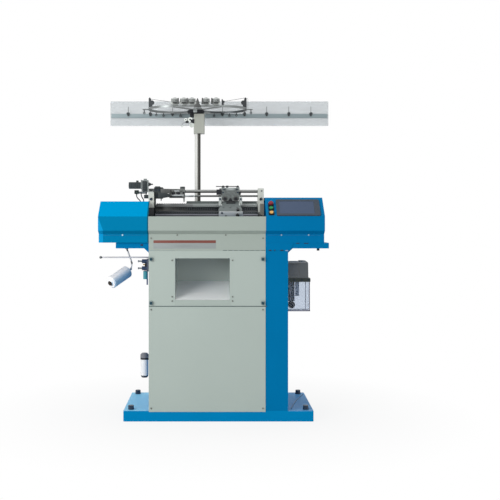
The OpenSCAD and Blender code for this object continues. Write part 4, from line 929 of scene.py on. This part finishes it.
# %% [markdown]
# ## Feeder, stop and motor trim
# The stepper that drives the yarn feeder sits in an open bracket: its coupling fills the
# bracket, a cable box hangs under it, and a dark wedge on the stop block points along the
# rods. The feeder has dark set screws in its body and a spring round its pin. One mesh with
# many insets could hold all of it, but joined blocks are quicker to move, and each group of
# them keeps its own finish and body.

# %% Coupling and cable box
case = block("coupling_case", (-460.5, -117, 1360), (-431.5, -90, 1423), 3)
shaft = turned("coupling_nose", [(12, 0), (12, 6), (8, 8), (8, 14), (4, 16), (4, 24), (1.5, 28)],
               (-425, -104, 1404), right, 16)
ribs = block("coupling_ribs", (-459, -120, 1372), (-433, -117, 1378), 1)
ribs = repeat(ribs, [here, (0, 0, 14), (0, 0, 28)])
dress(join([case, shaft, ribs]), "motor_grey")
box = block("cable_box", (-452, -116, 1318), (-426, -92, 1340), 2)
tail = wire("cable_tail", [(-440, -104, 1339), (-440, -104, 1348), (-438, -104, 1356)], 6)
dress(join([box, tail]), "motor_grey")

# %% Sensor on the motor bracket
sensor = block("sensor_box", (-510, -118, 1345), (-484, -90, 1368), 2)
nose = block("sensor_nose", (-503, -120, 1349), (-490, -118, 1360), 1)
dress(join([sensor, nose]), "sensor_green")
dress(block("sensor_bar", (-484, -119, 1354.5), (-424.5, -116, 1359.5), 0.6), "pale_plate")
dress(block("sensor_rail", (-484, -118.6, 1346.5), (-432, -116.4, 1353.5), 0.6), "motor_grey")
dress(block("strip_gusset", (-431, -119, 1342), (-425, -116, 1355), 0.6), "zinc_screw")

# %% Motor flange, end cap and screws
dress(block("motor_flange", (-470.5, -124, 1374), (-467.2, -80, 1431)), "flange_grey")
cap = block("motor_end_cap", (-544, -121, 1378.5), (-532, -83, 1415.5), 3)
fins = repeat(block("motor_fins", (-531, -123.4, 1379), (-527, -122, 1415), 0.5), row(12, 5))
plug = block("motor_plug", (-500, -112, 1416.5), (-486, -94, 1427), 1.5)
dress(join([cap, fins, plug]), "motor_grey")
corners = [here, (0, 30, 0), (0, 0, 29), (0, 30, 29)]
screws("motor_screws", 2.6, 2, (-544, -117, 1383), corners, left, "zinc_screw")

# %% Stop wedge and screws
wedge = block("stop_wedge", (-366, -110, 1316), (-294, -94.8, 1356), 1.5, (right, (1, 1, 0.45)))
finger = block("stop_finger", (-352, -108, 1302), (-344, -98, 1320), 1.5, (down, (0.5, 0.6, 1)))
hood = block("stop_hood", (-394, -104, 1380), (-346, -94, 1392), 2, (up, (0.6, 1, 1)))
dress(join([wedge, finger, hood]), "motor_grey")
sleeve = block("stop_sleeve", (-352, -104, 1347), (-291, -94.8, 1378), 3, (right, (1, 1, 0.9)))
dress(sleeve, "stand_grey")
screws("stop_screws", 4.5, 4, (-382, -95, 1370), [here, (20, 0, 0), (8, 0, -34)])
heads = [(7, 5, (-407.5, -121, 1313)), (7, 5, (259.5, -121, 1313)), (4, 3, (263, -121, 1363))]
dress(join([cap_screw("bracket_screws", *head) for head in heads]), "black_bolt")

# %% Feeder screws, windows and strips
holes = [here, (35, 0, 0), (64, 0, 6)]
screws("feeder_screws", 6.5, 2.4, (-276, -82, 1347), holes, front, "black_moulded", "feeder")
slit = block("feeder_slits", (-292, -83.4, 1369), (-250, -82, 1373), 0.5)
shoe = block("feeder_shoe", (-296, -84.5, 1324), (-222, -82, 1334), 1)
dress(join([slit, shoe]), "motor_grey", "feeder")
windows = strip("feeder_windows", [(-285, -265), (-257, -233)], (-83.4, 1344), (-81.8, 1358), 1)
dress(windows, "black_moulded", "feeder")
strips = [block("feeder_strips", (-270, -83.6, 1361.5), (-238, -81.8, 1367), 0.5),
          block("feeder_strips", (-286, -83.6, 1335), (-212, -81.8, 1341.5), 0.5)]
dress(join(strips), "pale_plate", "feeder")

# %% Feeder spring, cap and thread guide
dress(coil("feeder_spring", (-210, -66, 1301), up, 5.6, 1.4, 5, 19), "zinc_screw", "feeder")
profile = [(15.4, 0), (15.4, 2), (14, 3), (14, 5), (15.6, 6), (15.6, 11), (13, 13), (5, 13.5)]
dress(turned("feeder_cap", profile, (-219, -60, 1378.5), sides=24), "motor_grey", "feeder")
arm = block("thread_guide", (-204, -80, 1330), (-150, -76, 1340), 1, (right, (1, 1, 0.4)))
ring = washer("thread_eye", 6, 3, 3, (-148, -76.5, 1335), sides=16)
dress(join([arm, ring]), "pale_plate", "feeder")

# %% [markdown]
# ## Yarn stand trim
# Every tension unit has a mottled back plate with two ceramic eyes, a dished disc, a coil
# spring and a thumb nut. They could be modelled five times, but they are alike, so one unit
# is modelled and copied along the front of the hoop. Four of the units also have a dark stop
# lug, on the side that looks towards the middle.

# %% Tension units
units = [-268, -212, -162, -75, -13]
places = [(x - units[0], 0, 0) for x in units]
eye_gap = 40
plate = block("unit_plates", (-295, -15.5, 1902), (-243, -12, 1940), 1.2, (up, (0.86, 1, 1)))
dress(repeat(plate, places), "mottled_plate")
profile = [(13, 0), (19, 2), (19.6, 3), (18, 4), (9, 5.5), (7, 6)]
dish = turned("unit_dishes", profile, (-268, -24, 1926), front)
dress(repeat(dish, places), "dish_steel")
spring = coil("unit_springs", (-268, -30, 1926), front, 5.5, 1.4, 4, 7)
dress(repeat(spring, places), "zinc_screw")
nut = turned("unit_nuts", [(4, 0), (6.5, 1), (6.5, 5), (5, 6.5), (2, 7)], (-268, -36, 1926), front, 12)
dress(repeat(nut, places), "dish_steel")
ring = washer("unit_eyes", 6, 3, 3, (-288, -15.5, 1911), sides=16)
rings = repeat(ring, places + [(x + eye_gap, y, z) for x, y, z in places])
dress(rings, "ceramic_white")
lug = block("unit_lugs", (-254, -33, 1906), (-241, -14, 1942), 2, (up, (0.6, 0.6, 1)))
dress(repeat(lug, [here, (56, 0, 0), (150, 0, 0), (208, 0, 0)]), "stand_grey")

# %% Centre plate, hub cap and tension wires
peak = block("centre_plate", (-150, -17.5, 1884), (-106, -11.5, 1941), 1, (up, (0.12, 1, 1)))
dress(peak, "stand_grey")
profile = [(46, 0), (52, 3), (54, 6), (54, 20), (50, 24), (30, 26)]
dress(turned("hub_cap", profile, (-141, 150, 1864), sides=32), "black_moulded")
dress(block("hub_clip", (-156, 91, 1866), (-132, 99, 1888), 2), "cast_alloy")
runs = [wire("tension_wires", [(-429, 150, 1958), (-303, -10, 1921)], 2.6),
        wire("right_run", [(41, -8, 1923), (172, 150, 1966)], 2.6),
        wire("side_run", [(190, 150, 1902), (190, 150, 1960), (184, 150, 1966)], 2)]
dress(join(runs), "dark_oxide")

# %% Eyelet cluster
ring = washer("low_eyelets", 15, 9, 4, (-167, 120, 1789))
bead = washer("bead_eyelet", 6, 3, 3, (-228, 120, 1782), sides=16)
dress(join([ring, bead]), "ceramic_white")
clamps = [block("eyelet_clamps", (-177, 112, 1838), (-155, 124, 1863), 2),
          block("clamp_side", (-174, 110, 1800), (-152, 124, 1828), 2, (left, (1, 0.7, 0.6))),
          block("clamp_low", (-206, 112, 1802), (-186, 122, 1816), 2),
          wire("ring_stem", [(-167, 119, 1803), (-166, 118, 1815), (-162, 118, 1826)], 3),
          wire("bead_stem", [(-228, 119, 1788), (-224, 118, 1800), (-204, 118, 1809)], 2)]
dress(join(clamps), "black_moulded")

# %% [markdown]
# ## Oil pump and tank trim
# The clear tank hangs from a flange. Clear plastic alone hardly shows on white: what the
# eye reads is its frame, so it gets its corner ribs and bottom frame as tinted bars. The
# pump has flange screws, a pale lid with a filler cap and an ear.

# %% Tank ribs
bars = [((412.5, -51, 628), (415.5, -47.5, 806), 0.6), ((559, -51, 628), (564.5, -47.5, 806), 0.6),
        ((545, 44, 628), (549, 48, 806), 0.6), ((412.5, -51, 625), (565.5, -47, 633), 0.8),
        ((412.5, 45, 625), (565.5, 49, 631), 0.8)]
dress(join([block("tank_ribs", *bar) for bar in bars]), "rib_grey")
strips = repeat(block("intake_strips", (447, -17, 690), (450.5, -14, 800), 0.5), row(22, 2))
dress(strips, "rib_grey")
dress(washer("intake_ring", 21, 13, 4, (454, -16, 662)), "black_moulded")

# %% Pump cap, lid and flange screws
lid = block("filler_lid", (411, -47.8, 924.5), (544, 47.8, 931.6), 1.5)
cap = turned("filler_cap", [(13, 0), (14, 1), (14, 4), (12, 5.5), (6, 6)], (528, -20, 931), sides=16)
dress(join([lid, cap]), "lid_grey")
lid = block("pump_lid", (424, -50, 846), (500, -47.4, 916), 2)
ear = block("pump_ear", (566, -20, 808), (572, 20, 820), 2)
dress(join([lid, ear]), "pump_dark")
screws("flange_screws", 5, 4, (424, -53, 817), [here, (46, 0, 0), (90, 0, 0), (132, 0, 0)])

# %% [markdown]
# ## Slots, screws and louvres of the body
# A dark line of painted shade marks the seam between the front panels, and a dark blue line,
# drawn as a low bead, crosses the end of the plinth. Dark slots and a small pale mark show in
# the seam under the right cover, the needle bed has its row of strip screws, the closed back
# has its screws, a cable gland and two columns of louvres, a dark bridge with a brass nipple
# joins the two air knobs, and the bobbin shows the dark end of its card core. A line in the
# paint has no depth, so each seam and slot is a thin block that lies on its panel.

# %% Seam slots and a pale mark
slots = strip("seam_slots", [(297, 311), (328, 334), (364, 382)], (-303.6, 1004), (-300.2, 1010), 0.5)
dress(slots, "black_moulded")
# A small pale mark in the seam, drawn as a tilted block.
pale_mark = block("seam_pale_mark", (392, -304, 1002), (409, -300.2, 1009), 0.6, (left, (1, 1, 0.3)))
dress(pale_mark, "pale_mark_blue")
slots = strip("arm_slots", [(456, 477), (503, 530)], (-300.8, 1046), (-299.5, 1050), 0.3)
dress(slots, "black_moulded")

# %% Painted shade dashes under the upper cover, and screws of the right cover
# Short dark dashes stand in for the shade in the gap under the upper cover.
dash = block("cover_shade_dashes", (26, -303.9, 1005), (52, -302.9, 1008), 0.3)
dress(repeat(dash, row(32, 8)), "seam_shade")
side_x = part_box("right_cover")[1][0] / one_mm
corners = [here, (0, 0, -56), (0, 380, 0), (0, 380, -56)]
screws("side_screws", 6, 4, (side_x - 0.2, -240, 1184), corners, right)
dress(block("arm_plug", (-459, -292, 1033), (-444, -290, 1043), 0.6), "latch_dark")

# %% Painted shade along the folds of the two covers
# Thin dark strips stand in for the shade in the folds.
lines = strip("fold_shade_lines", [(-676, -426), (288, 600)], (-303.4, 1095.2), (-302.8, 1096.8), 0.2)
dress(lines, "fold_shade_blue")

# %% Painted shade on the panel seam, and the plinth's dark line
# A dark strip over the panel seam stands in for the shade in its gap.
dress(block("panel_seam", (-409, -303.9, 675.6), (284, -302.9, 680.2), 0.3), "seam_shade")
# A dark blue line across the plinth's end, drawn as a low rounded wire.
bead = wire("plinth_dark_line", [(548, 226, 63.5), (493, 46, 63.5), (455, -120, 63.5), (432, -242, 63.5)], 5)
dress(bead, "plinth_line_blue")

# %% Bed end cover and strip screws
dress(block("bed_end_cover", (-390.8, -72, 1206), (-380.4, -64, 1279), 0.8), "motor_grey")
screws("strip_screws", 3.4, 2, on_bed(-350, 28, 0.5), row(50, 12), off_bed)

# %% Back screws and cable gland
grid = [(380 * i, 0, 280 * j) for i in range(3) for j in range(4) if i != 1 or j in (0, 3)]
screws("back_screws", 6, 3, (-380, 263, 120), grid, back, "zinc_screw")
gland = turned("cable_gland", [(20, 0), (20, 6), (16, 8), (16, 18), (13, 22), (9, 23), (8, 14)],
               (300, 263, 150), back, 16)
dress(gland, "black_moulded")

# %% Back louvres
louvre = block("back_louvres", (-190, 262.6, 300), (-40, 268, 312), 1.2, (back, (0.94, 1, 0.4)))
grid = [(230 * i, 0, 28 * j) for i in range(2) for j in range(7)]
dress(repeat(louvre, grid), "blue_enamel")

# %% Valve bridge and nipple
dress(block("valve_bridge", (-440, -215, 909.5), (-427.2, -185, 926.5), 1.5), "black_moulded")
nipple = turned("valve_nipple", [(4.5, 0), (4.5, 4), (3, 5), (3, 9), (4, 10), (3.5, 12)],
                (-439.5, -204, 919), left, 12)
dress(nipple, "brass")

# %% Bobbin core
bobbin_axis = (-98, -120, -69)
core = washer("bobbin_core", 15, 6, 2.2, (-646.1, -219.1, 807.3), bobbin_axis)
dress(core, "core_card", "bobbin")

# %% [markdown]
# The dressed machine must keep the size of the solids. A few millimetres would be missed in
# a view, so the box of everything dressed is measured and printed.

# %% Finish
low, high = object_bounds()
print("visual box", [round(v, 3) for v in (*low, *high)])
